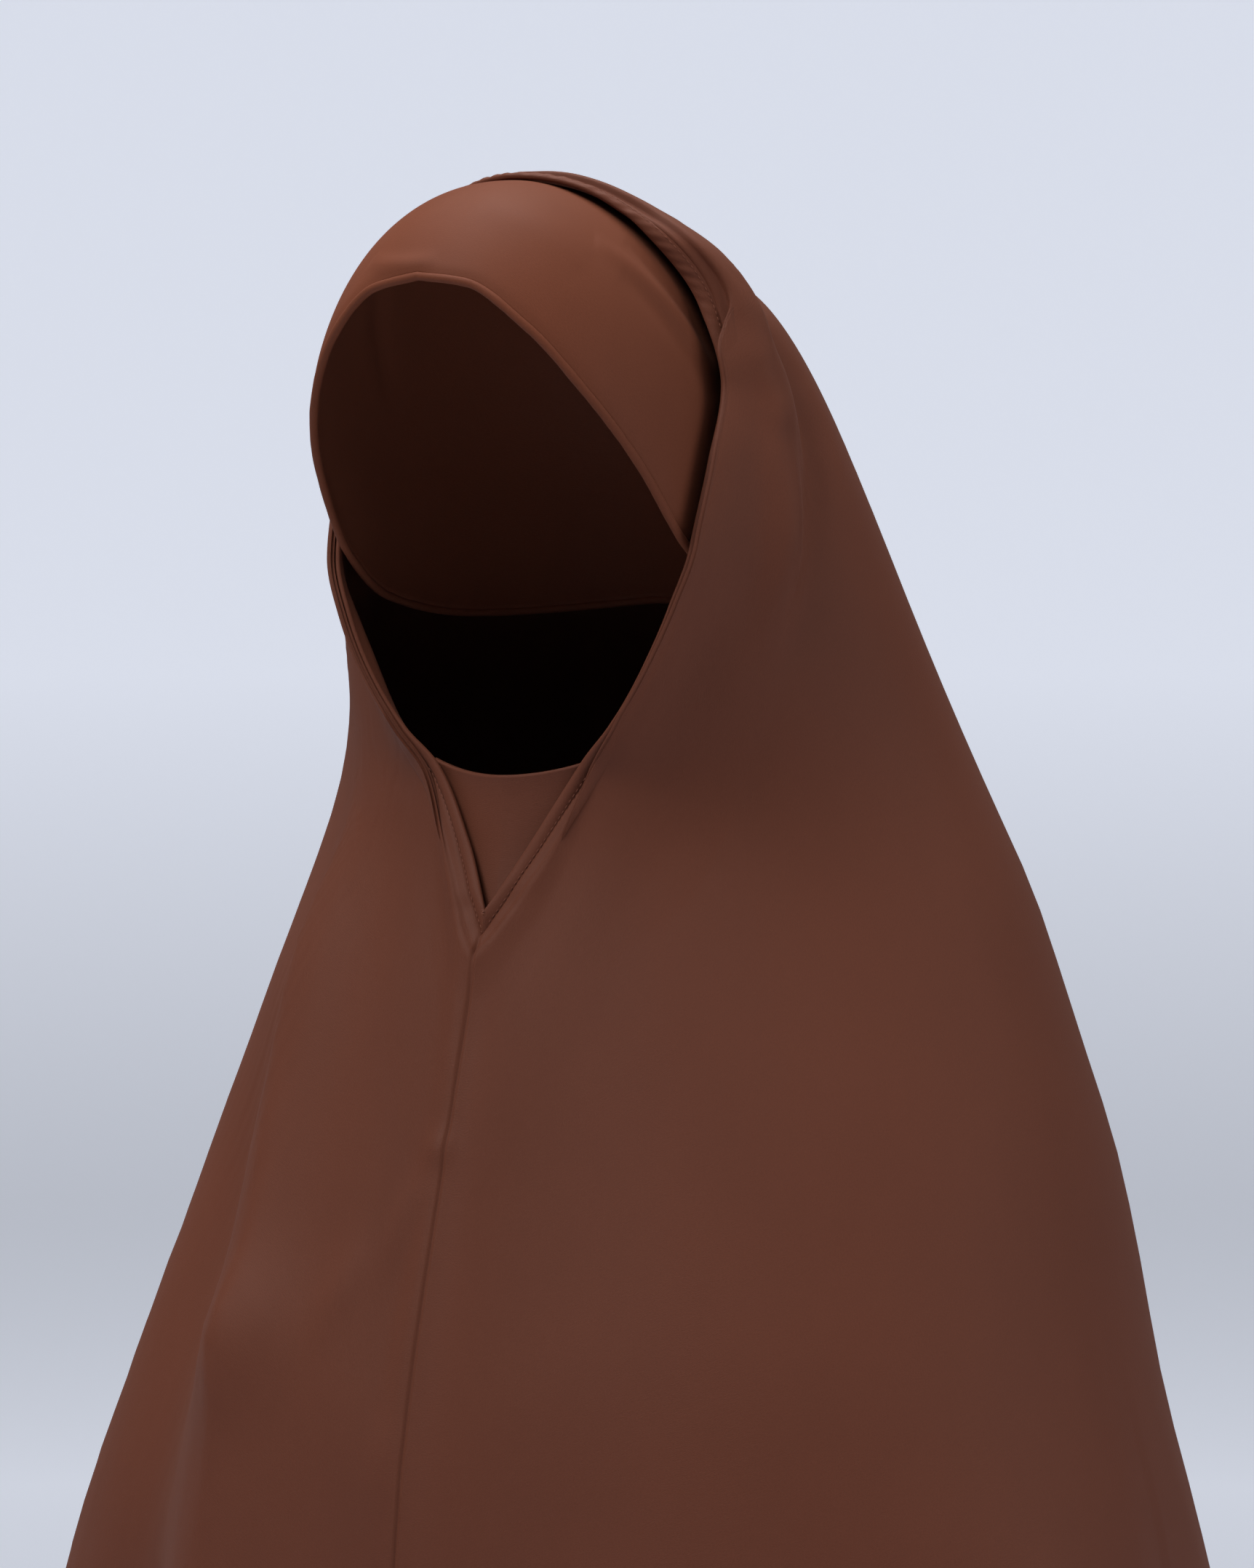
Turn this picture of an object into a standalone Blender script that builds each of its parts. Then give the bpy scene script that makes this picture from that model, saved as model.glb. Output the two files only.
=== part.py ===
"""A khimar veil as worn: one draped cloth from the crown to below the hips, its face hem, an inner
forehead band with a rolled edge, and the small panel that fills the neckline.

Metres, +Z up. The wearer faces -Y and the wearer's left is +X. The origin is the crown of the head.
"""

from math import pi

import bpy
import numpy as np

# The head that the veil fits, measured over the band's cloth
HEAD_WIDTH = 0.149
HEAD_DEPTH = 0.186
CROWN_TO_CHIN = 0.225
CROWN_HEIGHT = 0.108

# The veil as it hangs
VEIL_LENGTH = 0.98
SHOULDER_WIDTH = 0.40
CHEST_DEPTH = 0.24
NECKLINE_DROP = 0.272

# Cloth and edges
CLOTH_WALL = 0.0016
HEM_WALL = 0.0022
FACE_HEM_WIDTH = 0.0085
FACE_HEM_GAP = 0.0015
BAND_WALL = 0.0015
BAND_EDGE_RADIUS = 0.0016
BAND_EDGE_PROUD = 0.0004
BAND_EDGE_GAP = 0.0007
CLEARANCE = 0.0003

# The neckline's inner panel
PANEL_TOP_DROP = 0.218
PANEL_SAG = 0.006
PANEL_BELOW_NECKLINE = 0.024
PANEL_TUCK = 0.011
PANEL_GAP = 0.0024

# Folds
FOLD_WIDTH = 0.040
FOLD_HEIGHT = 0.020
EDGE_CALM = 0.007

# Shares without a unit: the roundness of the brow seen from above and from the side, how far along a
# ring the cloth's corners are softened and from which reach on, how fast the cloth leaves the face's
# edge, how much of a section is kept beside the edge, the least run of cloth for a reach of 1 and the
# length worked out past the hem
HEAD_ROUNDNESS = 2.35
BROW_ROUNDNESS = 2.6
RING_SOFTNESS_SHARE = 0.018
RING_SOFTNESS_REACH = 0.10
EDGE_SETTLE_REACH = 0.03
LEAST_SECTION_SHARE = 0.12
LEAST_RUN_SHARE = 0.25
LENGTH_WITH_SPARE = 1.05

# The opening that the band leaves over the crown: its radius and its shift to the back, as angles
BAND_TOP_ANGLE = 0.42
BAND_TOP_SHIFT_ANGLE = 0.40

# Mesh densities
VEIL_COLUMNS = 66
VEIL_ROWS = 31
ROW_CROWDING = 1.55
BAND_COLUMNS = 56
BAND_ROWS = 6
PANEL_COLUMNS = 10
PANEL_ROWS = 8
TRACK_POINTS = 400
FOLD_POINTS = 48
SURFACE_STEPS = 1200
REACH_STEPS = 900
FRONT_BLEND_STEPS = 6
FRONT_BLEND_SPAN = 20
TINY = 1e-6
SMALL_SHARE = 1e-3

# The hood's level sections. Columns: drop / CROWN_TO_CHIN, half width / HEAD_WIDTH, then the y of its
# widest point and of its back / HEAD_DEPTH, and the roundness of its front and back halves.
HOOD_SECTIONS = (
    (0.000, 0.000, 0.00, 0.022, 2.0, 2.0),
    (0.018, 0.148, 0.00, 0.141, 2.0, 2.0),
    (0.045, 0.238, 0.00, 0.228, 2.0, 2.0),
    (0.090, 0.366, 0.01, 0.362, 2.0, 2.0),
    (0.145, 0.462, 0.04, 0.482, 2.0, 2.0),
    (0.285, 0.572, 0.13, 0.680, 1.9, 2.0),
    (0.430, 0.648, 0.25, 0.708, 1.7, 2.0),
    (0.620, 0.731, 0.35, 0.776, 1.5, 2.1),
    (0.840, 0.832, 0.41, 0.900, 1.4, 2.2),
)

# The level sections below the chin. Columns: fall / length below the chin, half width / SHOULDER_WIDTH,
# then the y of its front, widest point and back / CHEST_DEPTH, and the roundness of front and back.
BODY_SECTIONS = (
    (0.000, 0.340, -0.100, 0.340, 0.770, 1.45, 2.3),
    (0.060, 0.386, -0.142, 0.350, 0.860, 1.50, 2.3),
    (0.100, 0.410, -0.188, 0.350, 0.900, 1.60, 2.3),
    (0.140, 0.434, -0.225, 0.345, 0.942, 1.70, 2.3),
    (0.180, 0.457, -0.258, 0.337, 0.995, 1.80, 2.3),
    (0.232, 0.480, -0.304, 0.320, 1.035, 1.90, 2.3),
    (0.298, 0.509, -0.360, 0.296, 1.050, 2.00, 2.3),
    (0.371, 0.550, -0.398, 0.275, 1.067, 2.00, 2.3),
    (0.560, 0.620, -0.470, 0.250, 1.150, 2.00, 2.2),
    (1.000, 0.750, -0.600, 0.230, 1.370, 2.00, 2.1),
)

# The edge of the face opening on one side, from the crown down to the point of the neckline.
# Columns: drop / NECKLINE_DROP, half width / HEAD_WIDTH, y / HEAD_DEPTH.
FACE_OPENING = (
    (0.002, 0.000, -0.105),
    (0.024, 0.200, -0.065),
    (0.088, 0.331, -0.020),
    (0.188, 0.451, 0.032),
    (0.285, 0.516, 0.030),
    (0.400, 0.530, -0.040),
    (0.515, 0.518, -0.095),
    (0.596, 0.470, -0.112),
    (0.673, 0.403, -0.118),
    (0.754, 0.302, -0.114),
    (0.801, 0.216, -0.104),
    (0.900, 0.100, -0.133),
    (1.000, 0.000, -0.190),
)

# The band's lower edge, round the head from the forehead to the nape.
# Columns: turn from the forehead / half turn, drop / CROWN_TO_CHIN.
BAND_LOWER_EDGE = (
    (0.00, 0.176),
    (0.08, 0.191),
    (0.17, 0.268),
    (0.25, 0.371),
    (0.34, 0.485),
    (0.44, 0.600),
    (0.56, 0.667),
    (0.72, 0.690),
    (1.00, 0.667),
)

# The main folds. A place is (side, reach): side is the share of a turn from the front, positive to the
# wearer's left, and reach runs from 0 at the face to 1 at the lower hem. Columns: name, the first, middle
# and last place, width / FOLD_WIDTH, height / FOLD_HEIGHT, and the share of it left at each end.
FOLDS = (
    ("crown roll left", (0.465, 0.012), (0.420, 0.020), (0.345, 0.012), 0.20, 0.22, 0.2, 0.0),
    ("crown roll right", (-0.465, 0.012), (-0.420, 0.019), (-0.345, 0.012), 0.20, 0.20, 0.2, 0.0),
    ("ear fold left", (0.445, 0.030), (0.362, 0.034), (0.232, 0.085), 0.30, 0.38, 0.1, 0.0),
    ("ear fold right", (-0.440, 0.032), (-0.350, 0.037), (-0.225, 0.090), 0.32, 0.34, 0.1, 0.0),
    ("ear valley left", (0.440, 0.060), (0.362, 0.055), (0.262, 0.085), 0.30, -0.36, 0.0, 0.0),
    ("ear valley right", (-0.440, 0.062), (-0.360, 0.058), (-0.262, 0.095), 0.30, -0.32, 0.0, 0.0),
    ("jaw valley left", (0.276, 0.034), (0.190, 0.028), (0.120, 0.045), 0.42, -0.24, 0.0, 0.0),
    ("jaw valley right", (-0.270, 0.036), (-0.190, 0.030), (-0.130, 0.045), 0.46, -0.34, 0.0, 0.0),
    ("neckline roll left", (0.135, 0.018), (0.085, 0.026), (0.020, 0.022), 0.20, 0.16, 0.2, 0.1),
    ("neckline roll right", (-0.135, 0.018), (-0.085, 0.026), (-0.020, 0.022), 0.20, 0.16, 0.2, 0.1),
    ("seam pucker", (-0.020, 0.035), (-0.012, 0.110), (-0.010, 0.300), 0.30, 0.24, 0.3, 0.0),
    ("front fold right", (-0.200, 0.050), (-0.130, 0.165), (-0.092, 0.420), 0.62, 0.62, 0.1, 0.9),
    ("front fold right lower", (-0.092, 0.420), (-0.090, 0.700), (-0.096, 1.000), 0.70, 0.70, 0.9, 1.0),
    ("side valley right", (-0.225, 0.190), (-0.180, 0.300), (-0.150, 0.480), 0.80, -0.60, 0.0, 0.6),
    ("side valley right lower", (-0.150, 0.480), (-0.146, 0.720), (-0.150, 1.000), 0.85, -0.62, 0.6, 1.0),
    ("chest fold right", (-0.070, 0.225), (-0.030, 0.290), (0.020, 0.360), 0.50, 0.14, 0.0, 0.0),
    ("front valley left", (0.070, 0.420), (0.062, 0.700), (0.060, 1.000), 0.85, -0.50, 0.0, 1.0),
    ("front fold left", (0.112, 0.360), (0.112, 0.680), (0.116, 1.000), 0.90, 0.62, 0.0, 1.0),
    ("side valley left", (0.172, 0.400), (0.170, 0.700), (0.166, 1.000), 0.80, -0.66, 0.0, 1.0),
    ("side fold left", (0.222, 0.380), (0.222, 0.680), (0.218, 1.000), 0.95, 0.60, 0.0, 1.0),
    ("side fold right", (-0.226, 0.290), (-0.214, 0.620), (-0.208, 1.000), 0.80, 0.56, 0.0, 1.0),
    ("shoulder valley left", (0.286, 0.420), (0.280, 0.690), (0.276, 1.000), 0.80, -0.74, 0.0, 1.0),
    ("shoulder valley right", (-0.278, 0.240), (-0.272, 0.600), (-0.268, 1.000), 0.80, -0.70, 0.0, 1.0),
    ("back fold left", (0.345, 0.460), (0.338, 0.720), (0.330, 1.000), 0.90, 0.74, 0.0, 1.0),
    ("back fold right", (-0.338, 0.180), (-0.330, 0.560), (-0.322, 1.000), 0.90, 0.76, 0.0, 1.0),
    ("back valley left", (0.405, 0.180), (0.396, 0.560), (0.388, 1.000), 0.75, -0.80, 0.0, 1.0),
    ("back valley right", (-0.392, 0.150), (-0.386, 0.560), (-0.376, 1.000), 0.75, -0.78, 0.0, 1.0),
    ("back fold middle", (0.462, 0.120), (0.452, 0.520), (0.444, 1.000), 0.85, 0.82, 0.0, 1.0),
    ("back fold inner", (-0.450, 0.140), (-0.440, 0.540), (-0.432, 1.000), 0.85, 0.78, 0.0, 1.0),
    ("nape valley", (-0.498, 0.170), (-0.496, 0.560), (-0.492, 1.000), 0.75, -0.72, 0.0, 1.0),
)

# Colour, roughness and metallic of each cloth
CREPE = ("crepe", (0.150, 0.052, 0.034, 1.0), 0.62, 0.0)
BAND_CREPE = ("band_crepe", (0.175, 0.060, 0.038, 1.0), 0.55, 0.0)


def smooth_through(places, values, at):
    """Reads a monotone cubic through the rows at some places, and goes straight on past its ends."""
    places = np.asarray(places, float)
    values = np.asarray(values, float)
    single = values.ndim == 1
    if single:
        values = values[:, None]
    step = np.diff(places)[:, None]
    rise = np.diff(values, axis=0) / step
    slope = np.zeros_like(values)
    near, far = 2 * step[1:] + step[:-1], step[1:] + 2 * step[:-1]
    same_way = rise[1:] * rise[:-1] > 0
    before = np.where(same_way, rise[:-1], 1)
    after = np.where(same_way, rise[1:], 1)
    slope[1:-1] = np.where(same_way, (near + far) / (near / before + far / after), 0)
    slope[0], slope[-1] = rise[0], rise[-1]
    at = np.asarray(at, float)
    row = np.clip(np.searchsorted(places, at) - 1, 0, len(places) - 2)
    share = (at - places[row]) / step[row, 0]
    u = np.clip(share, 0, 1)[..., None]
    length = step[row]
    result = (
        (1 + 2 * u) * (1 - u) ** 2 * values[row]
        + u * (1 - u) ** 2 * length * slope[row]
        + u * u * (3 - 2 * u) * values[row + 1]
        + u * u * (u - 1) * length * slope[row + 1]
    )
    past = (share - np.clip(share, 0, 1))[..., None] * length
    result = result + past * np.where((share > 0.5)[..., None], slope[row + 1], slope[row])
    return result[..., 0] if single else result


def smoothstep(value):
    value = np.clip(value, 0, 1)
    return value * value * (3 - 2 * value)


def section_rows():
    """Rows of drop, half width, side y, back y, front roundness and back roundness, in metres."""
    rows = []
    for drop, half, side, back, front_round, back_round in HOOD_SECTIONS:
        rows.append(
            (drop * CROWN_TO_CHIN, half * HEAD_WIDTH, side * HEAD_DEPTH, back * HEAD_DEPTH)
            + (front_round, back_round)
        )
    for fall, half, _, side, back, front_round, back_round in BODY_SECTIONS:
        rows.append(
            (CROWN_TO_CHIN + fall * (VEIL_LENGTH - CROWN_TO_CHIN), half * SHOULDER_WIDTH)
            + (side * CHEST_DEPTH, back * CHEST_DEPTH, front_round, back_round)
        )
    return np.array(rows)


def opening_rows():
    """Rows of drop, half width and y of the face opening's edge, in metres."""
    return np.array(FACE_OPENING) * (NECKLINE_DROP, HEAD_WIDTH, HEAD_DEPTH)


def front_rows():
    """Rows of drop and y down the middle of the front, from the neckline's point to the lower hem."""
    rows = [(NECKLINE_DROP, FACE_OPENING[-1][2] * HEAD_DEPTH)]
    for fall, _, front, *_ in BODY_SECTIONS:
        drop = CROWN_TO_CHIN + fall * (VEIL_LENGTH - CROWN_TO_CHIN)
        if drop > NECKLINE_DROP + CLOTH_WALL:
            rows.append((drop, front * CHEST_DEPTH))
    return np.array(rows)


class Drape:
    """The veil's smooth outer surface: level sections from the crown to the hem, read at any angle."""

    def __init__(self):
        sections = section_rows()
        self.root = np.linspace(0, np.sqrt(VEIL_LENGTH * LENGTH_WITH_SPARE), SURFACE_STEPS)
        drop = self.root**2
        half, side, back, front_round, back_round = smooth_through(
            np.sqrt(sections[:, 0]), sections[:, 1:], self.root
        ).T
        front = self.front_of(drop, half, side, front_round)
        self.columns = np.stack([half, front, side, back, front_round, back_round], 1)
        self.find_reach()
        self.follow_opening()

    def front_of(self, drop, half, side, roundness):
        """The front's y: below the neckline from its rows, above it so that the edge is on the surface."""
        rows, edge = front_rows(), opening_rows()
        low = smooth_through(rows[:, 0], rows[:, 1], drop)
        level = np.clip(drop, edge[0, 0], NECKLINE_DROP)
        across = smooth_through(edge[:, 0], edge[:, 1], level)
        depth = smooth_through(edge[:, 0], edge[:, 2], level)
        taken = (np.abs(across) / np.maximum(half, TINY)) ** roundness
        left = np.clip(1 - taken, LEAST_SECTION_SHARE, 1)
        high = side - (side - depth) / left ** (1 / roundness)
        high = high * np.sqrt(np.clip(drop / edge[0, 0], 0, 1))
        front = np.where(drop < NECKLINE_DROP, high, low)
        steps = np.arange(-FRONT_BLEND_SPAN, FRONT_BLEND_SPAN + 1)
        kernel = np.exp(-0.5 * (steps / FRONT_BLEND_STEPS) ** 2)
        padded = np.pad(front, FRONT_BLEND_SPAN, mode="edge")
        return np.convolve(padded, kernel / kernel.sum(), "valid")

    def section(self, drop):
        root = np.sqrt(np.clip(drop, 0, VEIL_LENGTH * LENGTH_WITH_SPARE))
        return [np.interp(root, self.root, column) for column in self.columns.T]

    def point(self, turn, drop):
        """The surface point at an angle from the front (radians) and a drop below the crown."""
        half, front, side, back, front_round, back_round = self.section(drop)
        across, ahead = np.sin(turn), np.cos(turn)
        deep = np.maximum(np.where(ahead > 0, side - front, back - side), TINY)
        roundness = np.where(ahead > 0, front_round, back_round)
        sum_of_powers = (np.abs(across) / np.maximum(half, TINY)) ** roundness
        sum_of_powers = sum_of_powers + (np.abs(ahead) / deep) ** roundness
        radius = sum_of_powers ** (-1 / roundness)
        return np.stack([radius * across, side - radius * ahead, -drop], -1)

    def find_reach(self):
        """Pairs each drop with its distance from the crown along the cloth."""
        self.drops = np.linspace(0, 1, REACH_STEPS) ** 2 * VEIL_LENGTH
        half, front, _, back, *_ = self.section(self.drops)
        radius = np.sqrt(half * (back - front) / 2)
        run = np.hypot(np.diff(radius), np.diff(self.drops))
        self.reaches = np.concatenate([[0], np.cumsum(run)])

    def follow_opening(self):
        """The opening's edge from the crown to the neckline's point: its path, turn and reach."""
        edge = opening_rows()
        span = edge[-1, 0] - edge[0, 0]
        angle = np.linspace(0, pi, TRACK_POINTS)
        rows_angle = np.arccos(np.clip(1 - 2 * (edge[:, 0] - edge[0, 0]) / span, -1, 1))
        drop = edge[0, 0] + (1 - np.cos(angle)) / 2 * span
        across, depth = smooth_through(rows_angle, edge[:, 1:], angle).T
        across[0] = across[-1] = 0
        self.edge = np.stack([across, depth, -drop], 1)
        self.edge_turn = np.arctan2(across, self.section(drop)[2] - depth)
        self.edge_reach = np.interp(drop, self.drops, self.reaches)
        run = np.linalg.norm(np.diff(self.edge, axis=0), axis=1)
        self.edge_share = np.concatenate([[0], np.cumsum(run)]) / run.sum()

    def edge_point(self, side):
        """The opening's edge at a share of a turn, 0 at the neckline's point and 0.5 at the crown."""
        share = 1 - 2 * np.abs(side)
        point = [np.interp(share, self.edge_share, values) for values in self.edge.T]
        point[0] = point[0] * np.where(side < 0, -1, 1)
        return np.stack(point, -1)

    def cloth(self, side, reach):
        """Points at sides (shares of a turn) and reaches (0 at the face, 1 at the lower hem)."""
        side = (side + 0.5) % 1 - 0.5
        share = 1 - 2 * np.abs(side)
        sign = np.where(side < 0, -1, 1)
        turn = np.interp(share, self.edge_share, self.edge_turn)
        start = np.interp(share, self.edge_share, self.edge_reach)
        end = self.reaches[-1]
        flat_x = (1 - reach) * start * np.sin(turn) * sign + reach * end * np.sin(2 * pi * side)
        flat_y = (1 - reach) * start * np.cos(turn) + reach * end * np.cos(2 * pi * side)
        drop = np.interp(np.hypot(flat_x, flat_y), self.reaches, self.drops)
        point = self.point(np.arctan2(flat_x, flat_y), drop)
        first = self.point(turn * sign, np.interp(start, self.reaches, self.drops))
        settle = np.exp(-((reach / EDGE_SETTLE_REACH) ** 2))
        return point + (self.edge_point(side) - first) * settle[..., None]


def side_shares(count):
    return np.arange(count) / count - 0.5


def rounded(points, reach):
    """Softens the sections' corners along each ring, and leaves the face's edge as it is."""
    count = points.shape[1]
    width = RING_SOFTNESS_SHARE * count
    span = int(3 * width) + 1
    offsets = np.arange(-span, span + 1)
    weights = np.exp(-0.5 * (offsets / width) ** 2)
    weights /= weights.sum()
    soft = sum(w * np.roll(points, o, axis=1) for o, w in zip(offsets, weights))
    return points + (soft - points) * smoothstep(reach / RING_SOFTNESS_REACH)[..., None]


def outward(points):
    """Unit normals of a grid of points, pointing away from the wearer."""
    around = np.roll(points, -1, axis=1) - np.roll(points, 1, axis=1)
    along = np.gradient(points, axis=0)
    normal = np.cross(along, around)
    return normal / np.maximum(np.linalg.norm(normal, axis=-1, keepdims=True), TINY**2)


def bezier(first, middle, last, u):
    """A curve from the first place to the last that passes through the middle one halfway."""
    first, middle, last = (np.array(place)[None] for place in (first, middle, last))
    handle = 2 * middle - (first + last) / 2
    u = u[:, None]
    return (1 - u) ** 2 * first + 2 * u * (1 - u) * handle + u**2 * last


def fold_heights(drape, points, reach):
    """How far each point of the cloth stands out or in because of the folds."""
    height = np.zeros(points.shape[:-1])
    u = np.linspace(0, 1, FOLD_POINTS)
    for _, first, middle, last, width, tall, at_start, at_end in FOLDS:
        route = bezier(first, middle, last, u)
        line = drape.cloth(route[:, 0], route[:, 1])
        taper = np.where(
            u < 0.5,
            at_start + (1 - at_start) * smoothstep(2 * u),
            at_end + (1 - at_end) * smoothstep(2 - 2 * u),
        )
        gap = np.linalg.norm(points[..., None, :] - line, axis=-1)
        nearest = gap.argmin(axis=-1)
        away = gap.min(axis=-1) / (width * FOLD_WIDTH)
        height += tall * FOLD_HEIGHT * taper[nearest] * np.exp(-(away**2))
    return height * smoothstep(reach * VEIL_LENGTH / EDGE_CALM)


def layer_lift():
    """How far the veil's outer face is above the crown: both cloths and the gap between them."""
    return BAND_WALL + CLEARANCE + HEM_WALL


def veil_grid(drape, columns, reach_of_rows):
    """The folded outer face of the veil, as rows from the face to the hem of points round the wearer."""
    side = np.broadcast_to(side_shares(columns), (len(reach_of_rows), columns))
    points = rounded(drape.cloth(side, reach_of_rows), reach_of_rows)
    points = points + outward(points) * fold_heights(drape, points, reach_of_rows)[..., None]
    return points + (0, 0, layer_lift())


def hem_reach(drape, columns, width):
    """The reach at which the cloth is a width away from the opening's edge, for each column."""
    side = side_shares(columns)
    start = drape.cloth(side, np.zeros(columns))
    down = (drape.cloth(side, np.full(columns, SMALL_SHARE)) - start) / SMALL_SHARE
    along = drape.cloth(side + SMALL_SHARE, np.zeros(columns)) - start
    along /= np.linalg.norm(along, axis=-1, keepdims=True)
    square = np.linalg.norm(np.cross(down, along), axis=-1)
    return width / np.maximum(square, LEAST_RUN_SHARE * VEIL_LENGTH)


def sheet_object(name, grid, closed, wall, material, collection):
    """A cloth object from a grid of points on its outer face, with its wall on the inner side."""
    rows, columns = grid.shape[:2]
    faces = []
    for row in range(rows - 1):
        for column in range(columns if closed else columns - 1):
            after = (column + 1) % columns
            faces.append(
                (
                    row * columns + column,
                    (row + 1) * columns + column,
                    (row + 1) * columns + after,
                    row * columns + after,
                )
            )
    mesh = bpy.data.meshes.new(name)
    mesh.from_pydata(grid.reshape(-1, 3).tolist(), [], faces)
    mesh.materials.append(material)
    mesh.shade_smooth()
    obj = bpy.data.objects.new(name, mesh)
    collection.objects.link(obj)
    solidify = obj.modifiers.new("Wall", "SOLIDIFY")
    solidify.thickness = wall
    solidify.offset = -1
    solidify.use_even_offset = False
    return obj


def head_point(turn, drop, depth=0.0):
    """A point on the band's outer face, or some depth inside it."""
    rise = np.clip((CROWN_HEIGHT - drop) / CROWN_HEIGHT, 0, 1)
    half = (HEAD_WIDTH / 2 - depth) * np.sqrt(1 - rise**2)
    front = (HEAD_DEPTH / 2 - depth) * (1 - rise**BROW_ROUNDNESS) ** (1 / BROW_ROUNDNESS)
    back = (HEAD_DEPTH / 2 - depth) * np.sqrt(1 - rise**2)
    across, ahead = np.sin(turn), np.cos(turn)
    deep = np.maximum(np.where(ahead > 0, front, back), TINY)
    roundness = np.where(ahead > 0, HEAD_ROUNDNESS, 2.0)
    sum_of_powers = (np.abs(across) / np.maximum(half, TINY)) ** roundness
    radius = (sum_of_powers + (np.abs(ahead) / deep) ** roundness) ** (-1 / roundness)
    level = BAND_WALL - drop - depth * rise**2
    return np.stack([radius * across, -radius * ahead, level], -1)


def band_lower_drop(turn):
    rows = np.array(BAND_LOWER_EDGE)
    share = np.abs((turn / pi + 1) % 2 - 1)
    return smooth_through(rows[:, 0], rows[:, 1], share) * CROWN_TO_CHIN


def band_grid(columns, rows):
    """The band's outer face, from its lower edge up to the opening left over the crown."""
    turn = side_shares(columns) * 2 * pi
    lower = band_lower_drop(turn)
    reach = np.arccos(np.clip(1 - lower / CROWN_HEIGHT, 0, 1))
    reach = reach + np.maximum(lower / CROWN_HEIGHT - 1, 0)
    low = np.stack([reach * np.sin(turn), reach * np.cos(turn)], -1)
    high = np.stack([np.sin(turn), np.cos(turn)], -1) * BAND_TOP_ANGLE
    high = high - (0, BAND_TOP_SHIFT_ANGLE)
    share = np.linspace(0, 1, rows)[:, None, None]
    flat = high * (1 - share) + low * share
    far = np.hypot(flat[..., 0], flat[..., 1])
    drop = CROWN_HEIGHT * np.where(far < pi / 2, 1 - np.cos(far), 1 + far - pi / 2)
    return head_point(np.arctan2(flat[..., 0], flat[..., 1]), drop)


def make_material(name, colour, roughness, metallic):
    material = bpy.data.materials.new(name)
    material.use_nodes = True
    material.diffuse_color = colour
    shader = material.node_tree.nodes["Principled BSDF"]
    shader.inputs["Base Color"].default_value = colour
    shader.inputs["Roughness"].default_value = roughness
    shader.inputs["Metallic"].default_value = metallic
    return material


def make_veil(drape, material, collection):
    """The one-piece veil, from beside the face hem to its lower hem."""
    first = hem_reach(drape, VEIL_COLUMNS, FACE_HEM_WIDTH + FACE_HEM_GAP)
    share = np.linspace(0, 1, VEIL_ROWS)[:, None] ** ROW_CROWDING
    reach = first + (1 - first) * share
    grid = veil_grid(drape, VEIL_COLUMNS, reach)
    return sheet_object("veil_body", grid, True, CLOTH_WALL, material, collection)


def make_face_hem(drape, material, collection):
    """The turned hem round the face, thicker than the cloth because it is folded over itself."""
    last = hem_reach(drape, VEIL_COLUMNS, FACE_HEM_WIDTH)
    reach = last * np.linspace(0, 1, 3)[:, None]
    grid = veil_grid(drape, VEIL_COLUMNS, reach)
    return sheet_object("face_hem", grid, True, HEM_WALL, material, collection)


def make_band(material, collection):
    grid = band_grid(BAND_COLUMNS, BAND_ROWS)
    return sheet_object("forehead_band", grid, True, BAND_WALL, material, collection)


def make_band_edge(material, collection):
    """The rolled lower edge of the band, a closed tube just below it."""
    turn = side_shares(BAND_COLUMNS) * 2 * pi
    drop = band_lower_drop(turn)
    points = head_point(turn, drop, BAND_EDGE_RADIUS - BAND_EDGE_PROUD)
    forward = np.roll(points, -1, axis=0) - np.roll(points, 1, axis=0)
    outer = head_point(turn, drop) - points
    down = np.cross(forward, outer)
    down /= np.linalg.norm(down, axis=-1, keepdims=True)
    points = points + down * (BAND_EDGE_RADIUS + BAND_EDGE_GAP)
    curve = bpy.data.curves.new("band_edge", "CURVE")
    curve.dimensions = "3D"
    curve.bevel_depth = BAND_EDGE_RADIUS
    curve.bevel_resolution = 1
    spline = curve.splines.new("POLY")
    spline.points.add(BAND_COLUMNS - 1)
    spline.points.foreach_set("co", np.column_stack([points, np.ones(BAND_COLUMNS)]).ravel())
    spline.use_cyclic_u = True
    curve.materials.append(material)
    obj = bpy.data.objects.new("band_edge", curve)
    collection.objects.link(obj)
    return obj


def make_neck_panel(drape, material, collection):
    """The inner cloth behind the neckline, from under the chin to a little below its point."""
    edge = opening_rows()
    across = np.linspace(-1, 1, PANEL_COLUMNS + 1)[None]
    down = np.linspace(0, 1, PANEL_ROWS + 1)[:, None]
    top = PANEL_TOP_DROP + PANEL_SAG * (1 - across**2)
    bottom = NECKLINE_DROP + PANEL_BELOW_NECKLINE
    drop = top + (bottom - top) * down
    half = smooth_through(edge[:, 0], edge[:, 1], np.minimum(drop, NECKLINE_DROP)) + PANEL_TUCK
    section = drape.section(drop)
    centre = section[2]
    front = drape.point(np.zeros_like(drop), drop)[..., 1]
    turn = np.arctan2(across * half, centre - front)
    outer = drape.point(turn, drop)
    along = np.gradient(outer, axis=0)
    around = np.gradient(outer, axis=1)
    normal = np.cross(along, around)
    normal /= np.linalg.norm(normal, axis=-1, keepdims=True)
    grid = outer - normal * (HEM_WALL + PANEL_GAP) + (0, 0, layer_lift())
    return sheet_object("neck_panel", grid, False, CLOTH_WALL, material, collection)


def main():
    for obj in list(bpy.data.objects):
        bpy.data.objects.remove(obj)
    collection = bpy.data.collections.new("khimar_veil")
    bpy.context.scene.collection.children.link(collection)
    crepe, band_crepe = make_material(*CREPE), make_material(*BAND_CREPE)
    drape = Drape()
    make_veil(drape, crepe, collection)
    make_face_hem(drape, crepe, collection)
    make_neck_panel(drape, crepe, collection)
    make_band(band_crepe, collection)
    make_band_edge(band_crepe, collection)


main()
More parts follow.
